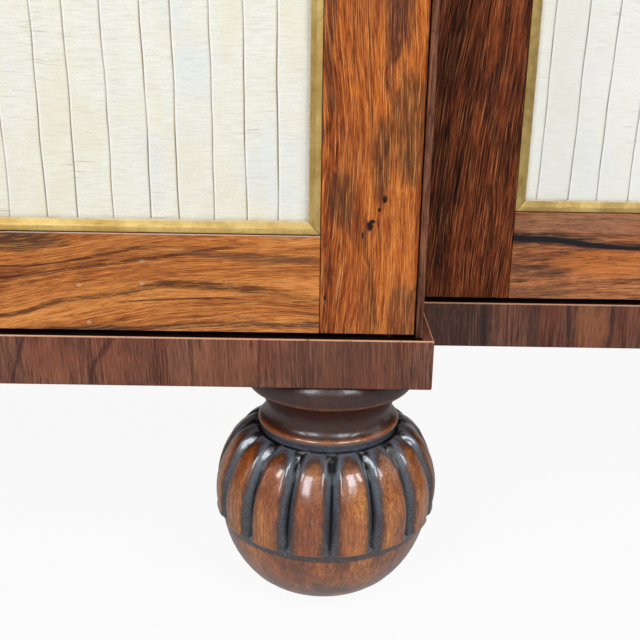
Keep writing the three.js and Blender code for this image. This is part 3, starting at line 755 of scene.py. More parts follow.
def eased(name, width, finish, slot, along="z", rounds=3, sharp=35.0):
    """A copy of one of the frame's boards with its arrises eased, and marked along them for wear, and on the
    centre rails for a painted highlight.
    """
    obj = bpy.data.objects.new(f"{name}_eased", nodes[name].data.copy())
    bpy.context.collection.objects.link(obj)
    obj.data.materials.clear()
    for _ in ("board", "arrises"):
        obj.data.materials.append(finish)
    take(obj)
    bpy.ops.mesh.customdata_custom_splitnormals_clear()
    mode("EDIT")
    pick_all()
    bpy.ops.mesh.remove_doubles(threshold=1e-5)
    bpy.ops.mesh.dissolve_limited(angle_limit=math.radians(1.5))
    limit, shortest = math.radians(sharp), 4 * MM
    pick(obj, "EDGE", lambda edge: len(edge.link_faces) == 2 and edge.calc_face_angle(0) > limit
         and edge.is_convex and edge.calc_length() > shortest)
    bpy.ops.mesh.bevel(offset=width * MM, segments=rounds, affect="EDGES", clamp_overlap=False, material=1)
    mode("OBJECT")
    arris = [1.0] * len(obj.data.vertices)
    for face in obj.data.polygons:
        if face.material_index == 0:
            for vertex in face.vertices:
                arris[vertex] = 0.0
        face.material_index = 0
    store(obj, "arris", arris)
    bpy.ops.object.shade_smooth_by_angle(angle=math.radians(38))
    weigh_normals(obj)
    lay_grain(obj, along, name)
    dress(obj, finish, slot, body_of_node[name], name)


# Carved bun feet, all lengths in millimetres

LOBES = 16
LOBE_PITCH = 2 * math.pi / LOBES
LOBE_STEPS = 24
GROOVE_TURN = 2.5
BALL_RADIUS, BALL_LEVEL = 56.6, 50.5
LOBE_RADIUS, LOBE_LEVEL, LOBE_REACH = 60.0, 58.5, 51.2
GROOVE_DEPTH, SWELL_DEPTH = 5.2, 1.3
FOOT_LEAN = 0.023
FOOT_TURN_STEP = 3.1
# How dark each part is made. In the grooves, the collar, the cove and the ring this is patina; under the rim
# (the rows called shade), on the rim and in the ditch it is painted shadow.
DARKNESS = {"ball": 0.1, "shade": 0.5, "rim": 1.0, "ditch": 1.0, "collar": 0.56, "arris_tone": 0.3, "cove": 0.4,
            "ring": 0.42, "seat": 0.5}


def foot_profile():
    """Rows of (radius, level, part) from the sole up to the top of the spigot."""
    def ball(*levels):
        return [(math.sqrt(BALL_RADIUS**2 - (z - BALL_LEVEL) ** 2), z) for z in levels]

    def lobe(*levels):
        return [(LOBE_RADIUS * math.sqrt(1 - ((z - LOBE_LEVEL) / LOBE_REACH) ** 2), z) for z in levels]

    runs = [("ball", [(0, 0), (12, 0), (18.5, 0), (21, 0.4), (24.6, 1.4), (28.2, 3), (33.2, 5.8), (38.6, 9.6),
                      *ball(13, 17, 21, 25, 29, 33, 37, 40.5)]),
            ("shade", ball(42.6, 44.2, 45.3)),
            ("rim", [(56.5, 46.1), (57.0, 46.3), (57.9, 46.2)]),
            ("lobe", [(58.7, 46.3), (59.2, 46.8), (59.5, 48),
                      *lobe(50, 53, 56, 59, 62, 65, 68, 71, 74, 77, 79.5, 82),
                      (52.2, 84.2), (50.6, 86.2), (49.1, 88), (47.2, 89.7), (44.9, 91.2), (42.6, 92.4),
                      (40.8, 93.1), (39.4, 93.3), (38.4, 92.8)]),
            ("ditch", [(37.7, 91.6), (37, 91.2), (36.4, 92.2)]),
            ("collar", [(36.4, 94), (37, 95.4), (37.5, 96.6)]),
            ("arris_tone", [(37.5, 97.8), (37, 98.6)]),
            ("cove", [(35.9, 99.3), (34.8, 100.4), (33.8, 102), (33.4, 105), (34.2, 108.5), (36.2, 112.2),
                      (38.6, 114.9), (41.0, 116.8)]),
            ("ring", [(42.7, 117.8)]),
            ("arris_tone", [(43.4, 118.5)]),
            ("ring", [(43.9, 120), (44.3, 122), (44.2, 124.5), (43.4, 127.5), (41.5, 130.2)]),
            ("seat", [(12, 130.2), (12, 148.3), (0, 148.3)])]
    return [(radius, level, part) for part, points in runs for radius, level in points]


def groove_depth(share, radius, level):
    """Depth at this share of the way from a lobe's middle to the groove."""
    side = max(0.0, (share - 0.58) / 0.42)
    depth = SWELL_DEPTH * share**2.2 + (GROOVE_DEPTH - SWELL_DEPTH) * side**1.25
    if level < 60:
        depth *= 1 - 0.62 * ((60 - level) / 14) ** 1.6
    if level > 91:
        depth *= max(0.35, 1 - 0.55 * (level - 91) / 2.3)
    return depth * min(1.0, radius / 56)


def carve(obj, rows):
    """Cuts one lobe's groove on either side, and marks where it is dark, with patina in the grooves and
    painted shadow under the rim and in the ditch, and where arrises are rubbed.
    """
    steps = LOBE_STEPS // 2
    places = []
    for vertex in obj.data.vertices:
        radius, level = math.hypot(vertex.co.x, vertex.co.y) / MM, vertex.co.z / MM
        row = min(range(len(rows)), key=lambda k: abs(rows[k][0] - radius) + abs(rows[k][1] - level))
        turn = (math.atan2(vertex.co.y, vertex.co.x) / LOBE_PITCH) % 1.0
        places.append((row, round(abs(2 * turn - 1) * steps)))
    take(obj)
    mode("EDIT")
    for row, (radius, level, part) in enumerate(rows):
        if part not in ("lobe", "rim"):
            continue
        (r0, z0, _), (r1, z1, _) = rows[row - 1], rows[row + 1]
        run = Vector((0, 1)) if level < 49 else Vector((r1 - r0, z1 - z0)).normalized()
        for step in range(1, steps + 1):
            depth = groove_depth(step / steps, radius, level)
            if part == "rim":
                depth = max(0.0, min(depth, radius - BALL_RADIUS))
            pick(obj, "VERT", lambda v: places[v.index] == (row, step))
            scale = 1 - depth * run.y / radius
            bpy.ops.transform.resize(value=(scale, scale, 1), center_override=(0, 0, 0))
            bpy.ops.transform.translate(value=(0, 0, depth * run.x * MM))
    mode("OBJECT")
    recess, arris = [], []
    for row, step in places:
        _, level, part = rows[row]
        share = step / steps
        tip = max(0.0, (level - 83) / 10)
        recess.append(min(1.0, share**2.2 + 0.5 * tip**1.6) if part == "lobe" else DARKNESS[part])
        lower_edge = part == "lobe" and level < 47 and share < 0.7
        arris.append(1.0 if part == "arris_tone" else 0.6 if lower_edge else 0.0)
    store(obj, "recess", recess)
    store(obj, "arris", arris)


def make_feet(finish):
    rows = foot_profile()
    one_lobe = spun("foot_slice", [row[:2] for row in rows], LOBE_STEPS, LOBE_PITCH)
    carve(one_lobe, rows)
    lobes = [copy_of(one_lobe, f"foot_lobe_{k}", turn=LOBE_PITCH * k) for k in range(LOBES)]
    pattern = close(joined("foot_pattern", lobes), 42)
    bpy.data.objects.remove(one_lobe)
    for count, name in enumerate(n for n in nodes if n.startswith("foot_")):
        low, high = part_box(name)
        middle = (low + high) / 2
        turn = math.radians(GROOVE_TURN) - math.pi / 2
        lean = Matrix.Identity(4)
        if name == "foot_front_right_inner":
            lean[0][2] = FOOT_LEAN
        else:
            turn += math.radians(FOOT_TURN_STEP * (count + 1))
        foot = copy_of(pattern, f"{name}_carved", turn=turn)
        foot.data.transform(Matrix.Translation((middle.x, middle.y, 0)) @ lean)
        dress(foot, finish, "carved_rosewood", "carcass", name)
    bpy.data.objects.remove(pattern)


# Pleated silk on its board, all lengths in millimetres

PLEAT_RETURN = 3.4
PLEAT_DEPTH = 0.5
PLEAT_WIDTHS = (13.4, 17.2)
BOARD_DEPTH = 5.8
CLOTH_INSET = 0.3
SILK_ROWS = 110
CENTRE_PLEATS = [13.2, 14.6, 14.6, 16.4, 12.8, 17.3, 16.4, 14.1, 17.3]
SIDE_PLEATS = [6.3, 16.4, 14.7, 16.6]


def pleat_edges(door, low, high):
    """Where the folds lie along a panel, from the left: first those measured, and then drawn ones."""
    draw = random.Random(f"pleats {door}")
    inner_left, inner_right = low + 7.7, high - 13.3
    edges = []
    if door == "centre_right_door":
        at = inner_right
        for width in CENTRE_PLEATS:
            at -= width
            edges.append(at)
        while edges[-1] - 15 > inner_left:
            edges.append(edges[-1] - draw.uniform(*PLEAT_WIDTHS))
    else:
        at = inner_left + 5.6
        for width in SIDE_PLEATS if door == "side_right_door" else [6]:
            at += width
            edges.append(at)
        while edges[-1] + 16 < inner_right:
            edges.append(edges[-1] + draw.uniform(*PLEAT_WIDTHS))
    return sorted(edge for edge in edges if low + 3 < edge < high - 3)


def pleat_path(edges, low, high):
    """The cloth's way along a panel, seen from above: (x, y behind the front, fold number, tuck)."""
    path = []
    ends = [low, *edges, high]
    for k in range(len(ends) - 1, 0, -1):
        left, right = ends[k - 1], ends[k]
        hidden = right
        stops = [right, right - 0.8, right - 1.6]
        if k < len(ends) - 1:
            hidden += PLEAT_RETURN
            stops = [hidden] + [right + ahead for ahead in (1.8, 0.6, 0.1, -0.45, -0.75, -1.6)]
        rest = right - 1.6 - left
        stops += [left + rest * share for share in (0.86, 0.7, 0.54, 0.38, 0.24, 0.13)]
        stops += [left + 0.9, left + 0.55, left + 0.2]
        for x in stops:
            share = (hidden - x) / (hidden - left)
            rise = PLEAT_DEPTH * (1 - share**1.6) - 0.16 * math.sin(math.pi * share)
            # The tuck is 1 where the cloth goes under the next fold, for painted shade, and -1 along a fold's
            # front edge, for a painted highlight.
            tuck = 1.0 if x > right - 0.5 else 0.35 if x > right - 0.8 else 0.0
            if k > 1 and x < left + 0.6:
                tuck = -1.0
            path.append((x, max(rise, 0.9 if x > right else 0.0), k - 1 if share > 0.5 else k, tuck))
        if k > 1:
            returning = ((0, 0.12, -0.4), (0.15, 0.34, 0.6), (PLEAT_RETURN * 0.5, 0.5, 1.0),
                         (PLEAT_RETURN * 0.95, 0.6, 1.0), (PLEAT_RETURN * 1.02, 0.8, 1.0))
            path += [(left + ahead, y, k - 1, tuck) for ahead, y, tuck in returning]
    return path


def make_silk_board(door, finish):
    node = f"{door}_silk_panel"
    low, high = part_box(node)
    board = begin("cube", f"{door}_silk_board", size=1,
                  location=((low.x + high.x) / 2, high.y - BOARD_DEPTH / 2 * MM, (low.z + high.z) / 2))
    bpy.ops.transform.resize(value=(high.x - low.x, BOARD_DEPTH * MM, high.z - low.z))
    bpy.ops.mesh.bevel(offset=0.6 * MM, segments=2, affect="EDGES")
    close(board)
    weigh_normals(board)
    lay_grain(board, "z", node)
    dress(board, finish, "carcass_wood", body_of_node[node], node)
    return board


def turn_to_front(cloth):
    """Makes the faces agree, and turns them towards the front."""
    take(cloth)
    mode("EDIT")
    pick_all()
    bpy.ops.mesh.normals_make_consistent(inside=False)
    mode("OBJECT")
    if sum(face.normal.y for face in cloth.data.polygons) > 0:
        mode("EDIT")
        bpy.ops.mesh.flip_normals()
        mode("OBJECT")
    bpy.ops.object.shade_smooth()


def make_silk(door, finish, board):
    """The cloth: a grid laid along its folds, which sway a little on their way up the board."""
    node = f"{door}_silk_panel"
    low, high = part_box(node)
    left, right = low.x / MM + CLOTH_INSET, high.x / MM - CLOTH_INSET
    bottom, top = low.z / MM + CLOTH_INSET, high.z / MM - CLOTH_INSET
    edges = pleat_edges(door, left, right)
    path = pleat_path(edges, left, right)
    columns = len(path) - 1
    cloth = begin("grid", f"{door}_silk_cloth", x_subdivisions=columns, y_subdivisions=SILK_ROWS, size=2)
    mode("OBJECT")
    draw = random.Random(f"silk {door}")
    ranges = ((0, 6.28), (0.05, 0.09), (0, 6.28), (0.14, 0.24))
    waves = [[draw.uniform(*reach) for reach in ranges] for _ in range(len(edges) + 3)]
    lean = -3.4 if door != "side_right_door" else 5.0
    travelled = [0.0]
    for (x0, y0, *_), (x1, y1, *_) in zip(path, path[1:]):
        travelled.append(travelled[-1] + math.hypot(x1 - x0, y1 - y0))
    front = low.y / MM + 0.12
    tucks, where = [], []
    for vertex in cloth.data.vertices:
        column = round((vertex.co.x + 1) / 2 * columns)
        row = (vertex.co.y + 1) / 2
        x, y, fold, tuck = path[column]
        level = bottom + (top - bottom) * row
        phase, slow, phase_two, quick = waves[fold]
        side = (x - left) / (right - left)
        held = math.sin(math.pi * side) ** 0.5 if 0 < side < 1 else 0.0
        sway = 0.32 * math.sin(phase + slow * level) + 0.14 * math.sin(phase_two + quick * level)
        drift = lean * math.sin(math.pi * 0.9 * row)
        puff = 0.1 * math.sin(phase_two + 0.21 * level + 0.5 * fold) + 0.06 * math.sin(phase + 0.47 * level)
        x += held * (sway + drift)
        y = front + max(0.0, y + puff * (1 - max(tuck, 0.0)))
        vertex.co = (x * MM, y * MM, level * MM)
        tucks.append(tuck)
        where.append((travelled[column] * MM, level * MM))
    store(cloth, "tuck", tucks)
    cloth.data.uv_layers[0].name = "cloth"
    uv = cloth.data.uv_layers[0].data
    for loop in cloth.data.loops:
        uv[loop.index].uv = where[loop.vertex_index]
    turn_to_front(cloth)
    dress(cloth, finish, "silk", body_of_node[node], node)


# Brass fillets: four mitred lengths to a door. The section is (inset, depth) in millimetres.

FILLET_SECTION = [(0.3, 1.35), (0.45, 1.0), (0.85, 0.9), (2.85, 1.26), (3.15, 1.37), (3.4, 1.54),
                  (5.45, 2.85), (5.8, 3.15), (5.9, 3.6), (5.9, 5.5), (0.3, 5.5)]
MITRE_GAP = 0.1


def fillet_length(name, corner, along, inward, length, face):
    """One length of the fillet between two corners of the frame's opening, cut to a mitre at both ends."""
    points = [(corner.x + inward.x * inset * MM, face + depth * MM, corner.z + inward.z * inset * MM)
              for inset, depth in FILLET_SECTION]
    obj = chain(name, points)
    fill_and_push(along * length)
    for start, way in ((corner, along), (corner + along * length, -along)):
        pick_all()
        normal = (way - inward).normalized()
        bpy.ops.mesh.bisect(plane_co=start + normal * MITRE_GAP * MM, plane_no=normal, use_fill=True,
                            clear_inner=True)
    close(obj, 30)
    lay_grain(obj, "x" if abs(along.x) > 0.5 else "z", name)
    insets = [(vertex.co - corner).dot(inward) / MM for vertex in obj.data.vertices]
    # Painted highlight: the inner lip is marked as an arris beyond full strength, so that the brass is
    # painted pale along it.
    store(obj, "arris", [1.6 if inset > 5.6 else 0.0 for inset in insets])
    return obj


def make_fillet(door, finish):
    node = f"{door}_brass_fillet"
    low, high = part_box(node)
    edge = 0.3 * MM
    x0, x1, z0, z1 = low.x - edge, high.x + edge, low.z - edge, high.z + edge
    right, up = Vector((1, 0, 0)), Vector((0, 0, 1))
    sides = [(x0, z0, right, up, x1 - x0), (x0, z1, right, -up, x1 - x0),
             (x0, z0, up, right, z1 - z0), (x1, z0, up, -right, z1 - z0)]
    lengths = [fillet_length(f"{node}_{k}", Vector((x, 0, z)), along, inward, length, low.y - 0.9 * MM)
               for k, (x, z, along, inward, length) in enumerate(sides)]
    fillet = joined(f"{node}_mitred", lengths)
    weigh_normals(fillet)
    dress(fillet, finish, "brass", body_of_node[node], node)


# Brass columns, gallery and keyhole rings


def smooth_run(points, steps):
    """More points along a profile, on a curve that passes through the given ones."""
    run = []
    for k in range(len(points) - 1):
        before, start = Vector(points[max(k - 1, 0)]), Vector(points[k])
        end, after = Vector(points[k + 1]), Vector(points[min(k + 2, len(points) - 1)])
        for step in range(steps):
            t = step / steps
            run.append(tuple(0.5 * (2 * start + (end - before) * t
                                    + (2 * before - 5 * start + 4 * end - after) * t**2
                                    + (3 * start - before - 3 * end + after) * t**3)))
    return run + [tuple(points[-1])]


COLUMN_RADIUS, COLUMN_SPIGOT, SPIGOT_RADIUS, SOCKET = 13, 9, 4, 9.3
COLUMN_RUNS = [
    (0, [(0.97, 0.0), (1.0, 0.003), (1.0, 0.028), (0.97, 0.031), (0.8, 0.034), (0.72, 0.045)]),
    (3, [(0.72, 0.052), (0.84, 0.062), (0.88, 0.078), (0.82, 0.094), (0.6, 0.104)]),
    (4, [(0.5, 0.118), (0.62, 0.16), (0.86, 0.24), (0.95, 0.31), (0.88, 0.39), (0.68, 0.48), (0.5, 0.57),
         (0.42, 0.68), (0.4, 0.78)]),
    (3, [(0.46, 0.792), (0.7, 0.804), (0.76, 0.82), (0.7, 0.836), (0.46, 0.848)]),
    (3, [(0.45, 0.87), (0.52, 0.9), (0.66, 0.93), (0.82, 0.948)]),
    (0, [(0.97, 0.955), (1.0, 0.958), (1.0, 0.997), (0.97, 1.0)]),
]


def make_columns(finish):
    """Runs of the turning are shares of the radius and the height, those with a number made smooth."""
    for name in ("column_left", "column_right"):
        low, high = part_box(name)
        middle = (low + high) / 2
        foot, head = low.z / MM + SOCKET, high.z / MM - SOCKET
        profile = [(0, foot - COLUMN_SPIGOT), (SPIGOT_RADIUS, foot - COLUMN_SPIGOT), (SPIGOT_RADIUS, foot)]
        for steps, shares in COLUMN_RUNS:
            run = [(COLUMN_RADIUS * r, foot + (head - foot) * z) for r, z in shares]
            profile += smooth_run(run, steps) if steps else run
        profile += [(SPIGOT_RADIUS, head), (SPIGOT_RADIUS, head + COLUMN_SPIGOT), (0, head + COLUMN_SPIGOT)]
        column = spun(f"{name}_turned", profile, 48, 2 * math.pi)
        column.data.transform(Matrix.Translation((middle.x, middle.y, 0)))
        weigh_normals(column)
        lay_grain(column, "z", name)
        dress(column, finish, "brass", "carcass", name)


SPINDLE_SHARES = [(1.9, 0.0), (1.9, 0.05), (1.1, 0.08), (0.9, 0.14), (1.6, 0.26), (1.8, 0.36), (1.4, 0.5),
                  (0.85, 0.66), (0.8, 0.74), (1.5, 0.79), (1.6, 0.83), (0.9, 0.87), (1.3, 0.95), (1.3, 1.0)]


def make_gallery(finish):
    """A flat strip along the shelf's back and ends, turned spindles on it, and a round rail on top."""
    low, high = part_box("gallery")
    wide = 4 * MM
    half, back = high.x - wide, high.y - wide
    front, floor = low.y, low.z
    rail_level, stand = high.z - 2 * MM, floor + 1.6 * MM

    def lay(obj, along, seed):
        lay_grain(obj, along, seed)
        dress(obj, finish, "brass", "carcass", "gallery")

    outline = [(-half - wide, back + wide), (-half - wide, front), (-half + wide, front),
               (-half + wide, back - wide), (half - wide, back - wide), (half - wide, front),
               (half + wide, front), (half + wide, back + wide)]
    strip = chain("gallery_strip", [(x, y, floor) for x, y in outline])
    fill_and_push((0, 0, 2 * MM))
    pick(strip, "EDGE", lambda edge: all(v.co.z > floor + MM for v in edge.verts))
    bpy.ops.mesh.bevel(offset=0.6 * MM, segments=2, affect="EDGES")
    close(strip)
    weigh_normals(strip)
    lay(strip, "x", "strip")

    tip = front + 1.5 * MM
    rail = chain("gallery_rail", [(x, y, rail_level) for x, y in
                                  ((-half, tip), (-half, back), (half, back), (half, tip))])
    lay(wire(rail, 2 * MM, 4), "x", "rail")

    stand, reach = stand / MM, (rail_level - stand) / MM
    profile = [(0, stand), *((r, stand + reach * z) for r, z in smooth_run(SPINDLE_SHARES, 2)),
               (0, stand + reach)]
    pattern = spun("gallery_spindle_pattern", profile, 12, 2 * math.pi)
    places = [(-half + 2 * half * k / 21, back) for k in range(22)]
    places += [(side * half, front + 1.8 * MM + (back - front) * k / 3) for k in range(3) for side in (-1, 1)]
    spindles = [copy_of(pattern, f"gallery_spindle_{k}", (x, y, 0)) for k, (x, y) in enumerate(places)]
    bpy.data.objects.remove(pattern)
    lay(joined("gallery_spindles", spindles), "z", "spindles")


def make_keyhole_ring(door, finish):
    """A thin brass thread round the keyhole: a circle drawn apart into a slot."""
    low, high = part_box(f"{door}_lock_case")
    stile_low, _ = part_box(f"{door}_closing_stile")
    middle = (low + high) / 2
    ring = begin("circle", f"{door}_keyhole_ring", vertices=32, radius=2.15 * MM,
                 location=(middle.x, stile_low.y + 0.12 * MM, middle.z), rotation=(math.pi / 2, 0, 0))
    for side in (-1, 1):
        pick(ring, "VERT", lambda v: v.co.y * side > 1e-6)
        bpy.ops.transform.translate(value=(0, 0, side * 3.3 * MM))
    ring = wire(ring, 0.38 * MM, 2)
    lay_grain(ring, "z", door)
    dress(ring, finish, "brass", door)


# Figure of the boards at the right-hand corner, in millimetres. A line is (tone, share, points), and a
# point is (along, across, half width).

DOOR_FRONT, SIDE_DOOR_FRONT, PLINTH_FRONT, SIDE_PLINTH_FRONT = -203, -140, -206.5, -143.5
BROWN, GREY_BROWN, PURPLE, BLACK = (84, 46, 26), (104, 68, 46), (72, 38, 32), (30, 22, 20)
PALE = (214, 178, 150)


def spots(front, depth, *rows):
    """Spots on a front, reaching this deep into the board. A row is (tone, share, x, z, wide, tall)."""
    return [(tone, share, (x, front, z), (wide, depth, tall)) for tone, share, x, z, wide, tall in rows]


RIGHT_RAIL_LINES = [
    (BROWN, 0.92, [(60, 180, 0.4), (150, 186, 0.5), (237, 189, 0.5), (256, 192.3, 0.6), (290, 199.7, 0.7),
                   (304, 203, 0.5)]),
    (BROWN, 0.92, [(60, 172, 0.4), (150, 179, 0.5), (217, 182.3, 0.5), (256, 187.9, 0.6), (299, 194.5, 0.8),
                   (333, 200.4, 1.0), (343, 203.4, 1.2)]),
    (BROWN, 0.9, [(60, 160, 0.5), (160, 160, 0.8), (215, 163.6, 1.0), (245, 171.7, 1.3), (274, 175.7, 1.1),
                  (299, 180.4, 2.1), (328, 179.1, 2.0), (357, 176.6, 1.5), (367, 174, 1.1)]),
    ((92, 60, 44), 0.97, [(225, 157.4, 0.9), (264, 158.2, 1.3), (293, 159.3, 1.2), (323, 161.3, 1.3),
                          (342, 161.2, 1.6), (380, 162.1, 1.5)]),
    (GREY_BROWN, 0.8, [(292, 196, 0.6), (323, 194.2, 1.5), (342, 193.2, 1.8), (368, 193.8, 1.6)]),
    (BROWN, 0.9, [(268, 171, 0.3), (294, 173, 0.5), (313, 173.8, 0.5), (333, 173.6, 0.3)]),
    (BLACK, 0.7, [(352, 172.6, 0.2), (362, 173.2, 0.35), (368, 174.4, 0.4)]),
]
RIGHT_RAIL_PATCHES = spots(DOOR_FRONT, 20, ((84, 56, 38), 0.95, 219, 200.5, 27, 4.8))
RIGHT_RAIL_PATCHES += spots(
    DOOR_FRONT, 10, (PALE, 0.55, 283.4, 191.3, 1.1, 0.9), (PALE, 0.55, 253.4, 179.4, 1.1, 0.9),
    (PALE, 0.55, 282.9, 180.3, 1.1, 0.9), (PALE, 0.55, 257, 161.1, 1.1, 0.9))
RIGHT_STILE_LINES = [
    (PURPLE, 0.75, [(253, 401.8, 2.0), (260, 399.7, 3.2), (267, 396.5, 2.6), (277, 394.4, 2.0),
                    (285, 396, 2.8), (295, 397, 3.6), (340, 398, 3.0), (430, 401, 1.0)]),
    (BROWN, 0.75, [(229, 407.6, 0.7), (239, 404.6, 1.0), (249, 404.4, 1.2), (258, 402.6, 1.0)]),
    (BROWN, 0.75, [(228, 391, 0.6), (237, 391.9, 0.9), (244, 394.3, 1.1), (250, 395.6, 1.1),
                   (258, 397.4, 0.9)]),
    (BROWN, 0.6, [(230, 387.2, 0.4), (245, 388, 0.8), (262, 386.5, 0.7), (300, 385, 0.3)]),
    (BROWN, 0.8, [(200, 380, 0.7), (215, 377.2, 1.1), (225, 374.4, 1.2), (231, 372.2, 1.0),
                  (237, 368, 0.8)]),
    (BROWN, 0.75, [(254, 370.2, 0.8), (266, 369.6, 1.3), (281, 368.2, 1.0), (294, 369.2, 1.5),
                   (330, 367.5, 1.0)]),
    (BROWN, 0.7, [(157, 393.3, 0.8), (175, 390.2, 1.0), (188, 389, 0.8), (197, 386.4, 0.9),
                  (219, 386.1, 0.6)]),
    (BROWN, 0.7, [(157, 406.3, 0.7), (172, 406.9, 1.1), (182, 411.8, 0.8)]),
]
RIGHT_STILE_PATCHES = spots(
    DOOR_FRONT, 20, ((92, 56, 34), 0.8, 403.5, 257, 7.5, 21), ((84, 50, 30), 0.75, 392.5, 239, 4.2, 20),
    ((86, 50, 30), 0.8, 374.5, 222, 6.2, 13), ((90, 54, 32), 0.7, 406.5, 236, 5.5, 9),
    ((104, 64, 40), 0.7, 405, 168, 8, 14), ((74, 42, 34), 0.55, 398, 306, 6.5, 24),
    ((104, 60, 34), 0.45, 388, 172, 4, 20))
RIGHT_STILE_PATCHES += spots(
    DOOR_FRONT, 10, (BLACK, 1.0, 394.3, 221.7, 1.0, 1.7), (BLACK, 1.0, 392.1, 216.8, 0.8, 1.0),
    (BLACK, 1.0, 388.0, 209.5, 1.4, 2.5), (BLACK, 1.0, 389.2, 211.4, 1.3, 0.8),
    (BLACK, 1.0, 384.8, 204.8, 0.4, 1.6), (BLACK, 1.0, 367.9, 175.0, 0.6, 1.4))
SIDE_STILE_LINES = [
    (BLACK, 0.7, [(160, 429, 1.0), (177, 428.4, 2.2), (192, 430, 2.4), (210, 428, 2.0), (260, 430, 1.2)]),
    (BLACK, 0.65, [(168, 449, 0.8), (176, 451.5, 1.6), (192, 455.2, 1.8), (210, 454.2, 1.6),
                   (235, 457, 2.6), (262, 448, 3.2), (285, 456, 2.4), (330, 452, 1.0)]),
    (BLACK, 0.55, [(215, 440, 1.2), (232, 443, 2.6), (250, 438, 2.2), (272, 445, 1.6), (300, 440, 1.0)]),
]
SIDE_RAIL_LINES = [
    ((46, 40, 41), 0.98, [(430, 191.6, 2.4), (462, 191.2, 2.7), (482, 191.2, 3.1), (497, 189.9, 3.1),
                          (512, 188, 2.7), (523, 187, 2.3), (536, 186.4, 2.0), (580, 184, 1.5),
                          (650, 189, 0.8)]),
    ((34, 31, 34), 1.0, [(430, 190.8, 1.2), (462, 190.4, 1.4), (482, 190.3, 1.6), (497, 188.9, 1.5),
                         (512, 187.1, 1.3), (523, 186.2, 1.1), (536, 185.7, 0.9), (580, 183.5, 0.6),
                         (650, 189, 0.4)]),
    (BROWN, 0.7, [(466, 176.4, 0.5), (480, 174.2, 0.7), (492, 172, 0.9), (499, 174.2, 0.4)]),
    (BLACK, 0.65, [(466, 166.8, 0.7), (473, 167.2, 0.8), (479, 168.2, 0.4)]),
    (BROWN, 0.7, [(517, 163.6, 0.4), (529, 167, 0.8), (540, 170, 0.9), (600, 176, 0.6)]),
    (BROWN, 0.55, [(466, 181.5, 0.4), (500, 179.5, 0.6), (530, 176, 0.5), (560, 176, 0.3)]),
]
SIDE_RAIL_PATCHES = spots(
    SIDE_DOOR_FRONT, 20, ((168, 118, 90), 0.65, 520, 199, 70, 6),
    ((208, 116, 50), 0.75, 522, 177.5, 30, 7.5), ((80, 52, 40), 0.65, 482, 172.5, 18, 3.5),
    ((108, 72, 54), 0.65, 480, 160.5, 21, 3.5))
PLINTH_LINES = [
    ((56, 36, 34), 0.75, [(122, 217, 0.8), (133, 219.5, 0.9), (144, 223, 0.9), (164, 229, 1.1)]),
    ((60, 38, 34), 0.65, [(122, 254.5, 0.9), (134, 256.6, 1.0), (140, 258.2, 1.3), (147, 263, 1.6),
                          (164, 273, 1.8)]),
    ((56, 38, 34), 0.7, [(122, 307, 0.7), (164, 304.2, 0.8)]),
    ((60, 42, 38), 0.6, [(122, 336.4, 0.6), (164, 338.2, 0.7)]),
    ((42, 38, 42), 0.85, [(122, 455.7, 1.8), (143, 454.8, 1.7), (166, 453.8, 1.5)]),
    ((56, 46, 46), 0.6, [(122, 481, 2.6), (143, 481.8, 3.0), (166, 482.2, 2.0)]),
    ((50, 40, 42), 0.75, [(122, 502, 1.1), (143, 500.7, 1.1), (166, 498.8, 1.4)]),
    ((56, 40, 38), 0.7, [(148, 516.4, 0.5), (153, 515.9, 0.7), (162, 515.6, 0.7)]),
    ((46, 38, 40), 0.85, [(122, 522.4, 0.7), (131, 523.3, 0.8), (144, 523.9, 0.8), (166, 522.4, 1.0)]),
]
PLINTH_PATCHES = spots(
    PLINTH_FRONT, 30, ((152, 84, 58), 0.5, 239.5, 143, 14, 11), ((152, 86, 60), 0.5, 273, 139, 11, 8),
    ((158, 98, 66), 0.45, 321, 143, 15, 15), ((92, 66, 54), 0.45, 375, 143, 34, 16))
PLINTH_PATCHES += spots(
    SIDE_PLINTH_FRONT, 20, ((60, 46, 42), 0.7, 440, 143, 21, 18),
    ((172, 104, 64), 0.6, 512.6, 143, 9, 15))


# The piece, put together

PLINTH_ARRIS, RAIL_ARRIS = 154.3 * MM, 203.6 * MM

light_the_room()
place_camera()
wood_figure()
arris_wear_and_highlight()
grime()
ribbed_silk()

floor = begin("plane", "floor", size=30)
mode("OBJECT")
floor.data.materials.append(pale_floor())

golden = rosewood(
    "golden rosewood", [(82, 36, 14), (144, 66, 25), (191, 98, 37), (226, 134, 60), (244, 164, 90)],
    (70, 34, 20), wander=0.011, band=0.010, bright=0.65, wear=0.25, banding=1.2, run="z",
    lines=RIGHT_STILE_LINES, patches=RIGHT_STILE_PATCHES)
# Along the top arris of these rails the pale grey tone is a painted highlight.
flamed = rosewood(
    "flamed rosewood", [(96, 48, 22), (156, 84, 38), (194, 112, 52), (228, 146, 74), (242, 170, 92)],
    (84, 48, 30), streaks=0.35, arris_tone=(196, 186, 176), wear=0.9, lines=RIGHT_RAIL_LINES,
    patches=RIGHT_RAIL_PATCHES, flow=(0.12, 0.33, 0.024), arris_tone_above=RAIL_ARRIS)
dark_side = rosewood(
    "dark rosewood", [(27, 14, 10), (66, 31, 18), (110, 53, 30), (155, 79, 43), (210, 128, 74)],
    (16, 8, 6), turn=-0.09, wander=0.009, band=0.010, fibre=0.0006, bright=0.85, wear=0.2,
    arris_tone=(120, 84, 62), run="z", lines=SIDE_STILE_LINES, gloss=0.42, shine=0.12)
striped = rosewood(
    "striped rosewood", [(104, 57, 35), (156, 91, 55), (190, 118, 73), (222, 146, 90), (236, 166, 106)],
    (40, 26, 22), turn=-0.03, dashes=0.6, wear=0.2, lines=SIDE_RAIL_LINES, patches=SIDE_RAIL_PATCHES)
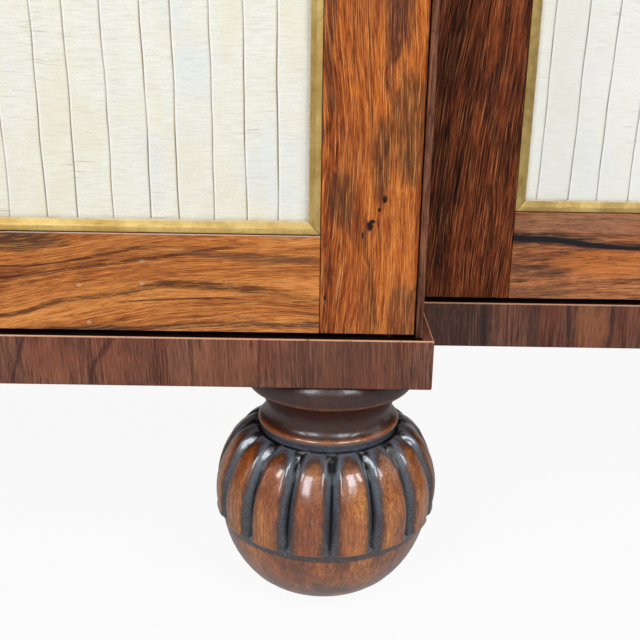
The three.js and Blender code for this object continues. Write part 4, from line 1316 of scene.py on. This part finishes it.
gable_wood = rosewood(
    "gable rosewood", [(50, 28, 20), (90, 52, 36), (120, 72, 50), (150, 96, 68), (172, 120, 88)],
    (34, 20, 18), fibre=0.0012, streaks=0.4, bright=0.35, arris_tone=(150, 110, 84))
top_wood = rosewood(
    "top rosewood", [(58, 28, 18), (98, 50, 28), (136, 72, 36), (178, 104, 54), (206, 134, 78)],
    (36, 20, 15), turn=0.02, wander=0.02, band=0.03, fibre=0.0013, streaks=0.55, bright=0.4, gloss=0.28,
    banding=1.3)
black_brass = old_brass("blackened brass", (62, 48, 32), (38, 30, 22), 0.6, 0.5)
banding_tones = [(62, 36, 31), (98, 60, 48), (128, 82, 64), (152, 101, 78), (180, 124, 96)]
banding = crossbanding("plinth crossbanding", banding_tones, (228, 162, 122), 0.9, PLINTH_ARRIS,
                       PLINTH_LINES, PLINTH_PATCHES)
frieze_banding = crossbanding("frieze crossbanding", banding_tones, (176, 120, 88), 0.5, 0)
carved = carved_rosewood()
inside = carcass_wood()
silk = ivory_silk()
brass = old_brass("aged brass", (230, 194, 120), (204, 164, 92), 0.4, 0.36)
dull_brass = old_brass("dull brass", (210, 178, 110), (174, 142, 84), 0.45, 0.4)

eased("base_board", 0.9, banding, "crossbanding")
eased("frieze_board", 0.8, frieze_banding, "crossbanding")
eased("top_board", 1.6, top_wood, "rosewood", "x", rounds=2, sharp=20)
eased("upper_shelf", 2.2, top_wood, "rosewood", "x")
eased("upper_back", 1.4, top_wood, "rosewood", "x")
for gable_name in ("partition_left", "partition_right", "end_left", "end_right"):
    eased(gable_name, 0.5, gable_wood, "rosewood")
for inner_board in ("back_panel", "shelf_centre", "shelf_left", "shelf_right"):
    eased(inner_board, 0.8, inside, "carcass_wood", "x")
for door in DOORS:
    centre = door.startswith("centre")
    for stile in ("hanging_stile", "closing_stile"):
        eased(f"{door}_{stile}", 0.45, golden if centre else dark_side, "rosewood")
    for rail in ("bottom_rail", "top_rail"):
        eased(f"{door}_{rail}", 0.45, flamed if centre else striped, "rosewood", "x")
    make_fillet(door, brass if centre else dull_brass)
    make_silk(door, silk, make_silk_board(door, inside))
    for end in ("lower", "upper"):
        eased(f"{door}_{end}_pivot", 0.3, black_brass, "brass", rounds=2)
    if f"{door}_lock_case" in nodes:
        eased(f"{door}_lock_case", 0.4, brass, "brass", rounds=2)
        eased(f"{door}_lock_bolt", 0.3, brass, "brass", rounds=2)
        make_keyhole_ring(door, brass)
make_feet(carved)
make_columns(brass)
make_gallery(brass)
take(None)
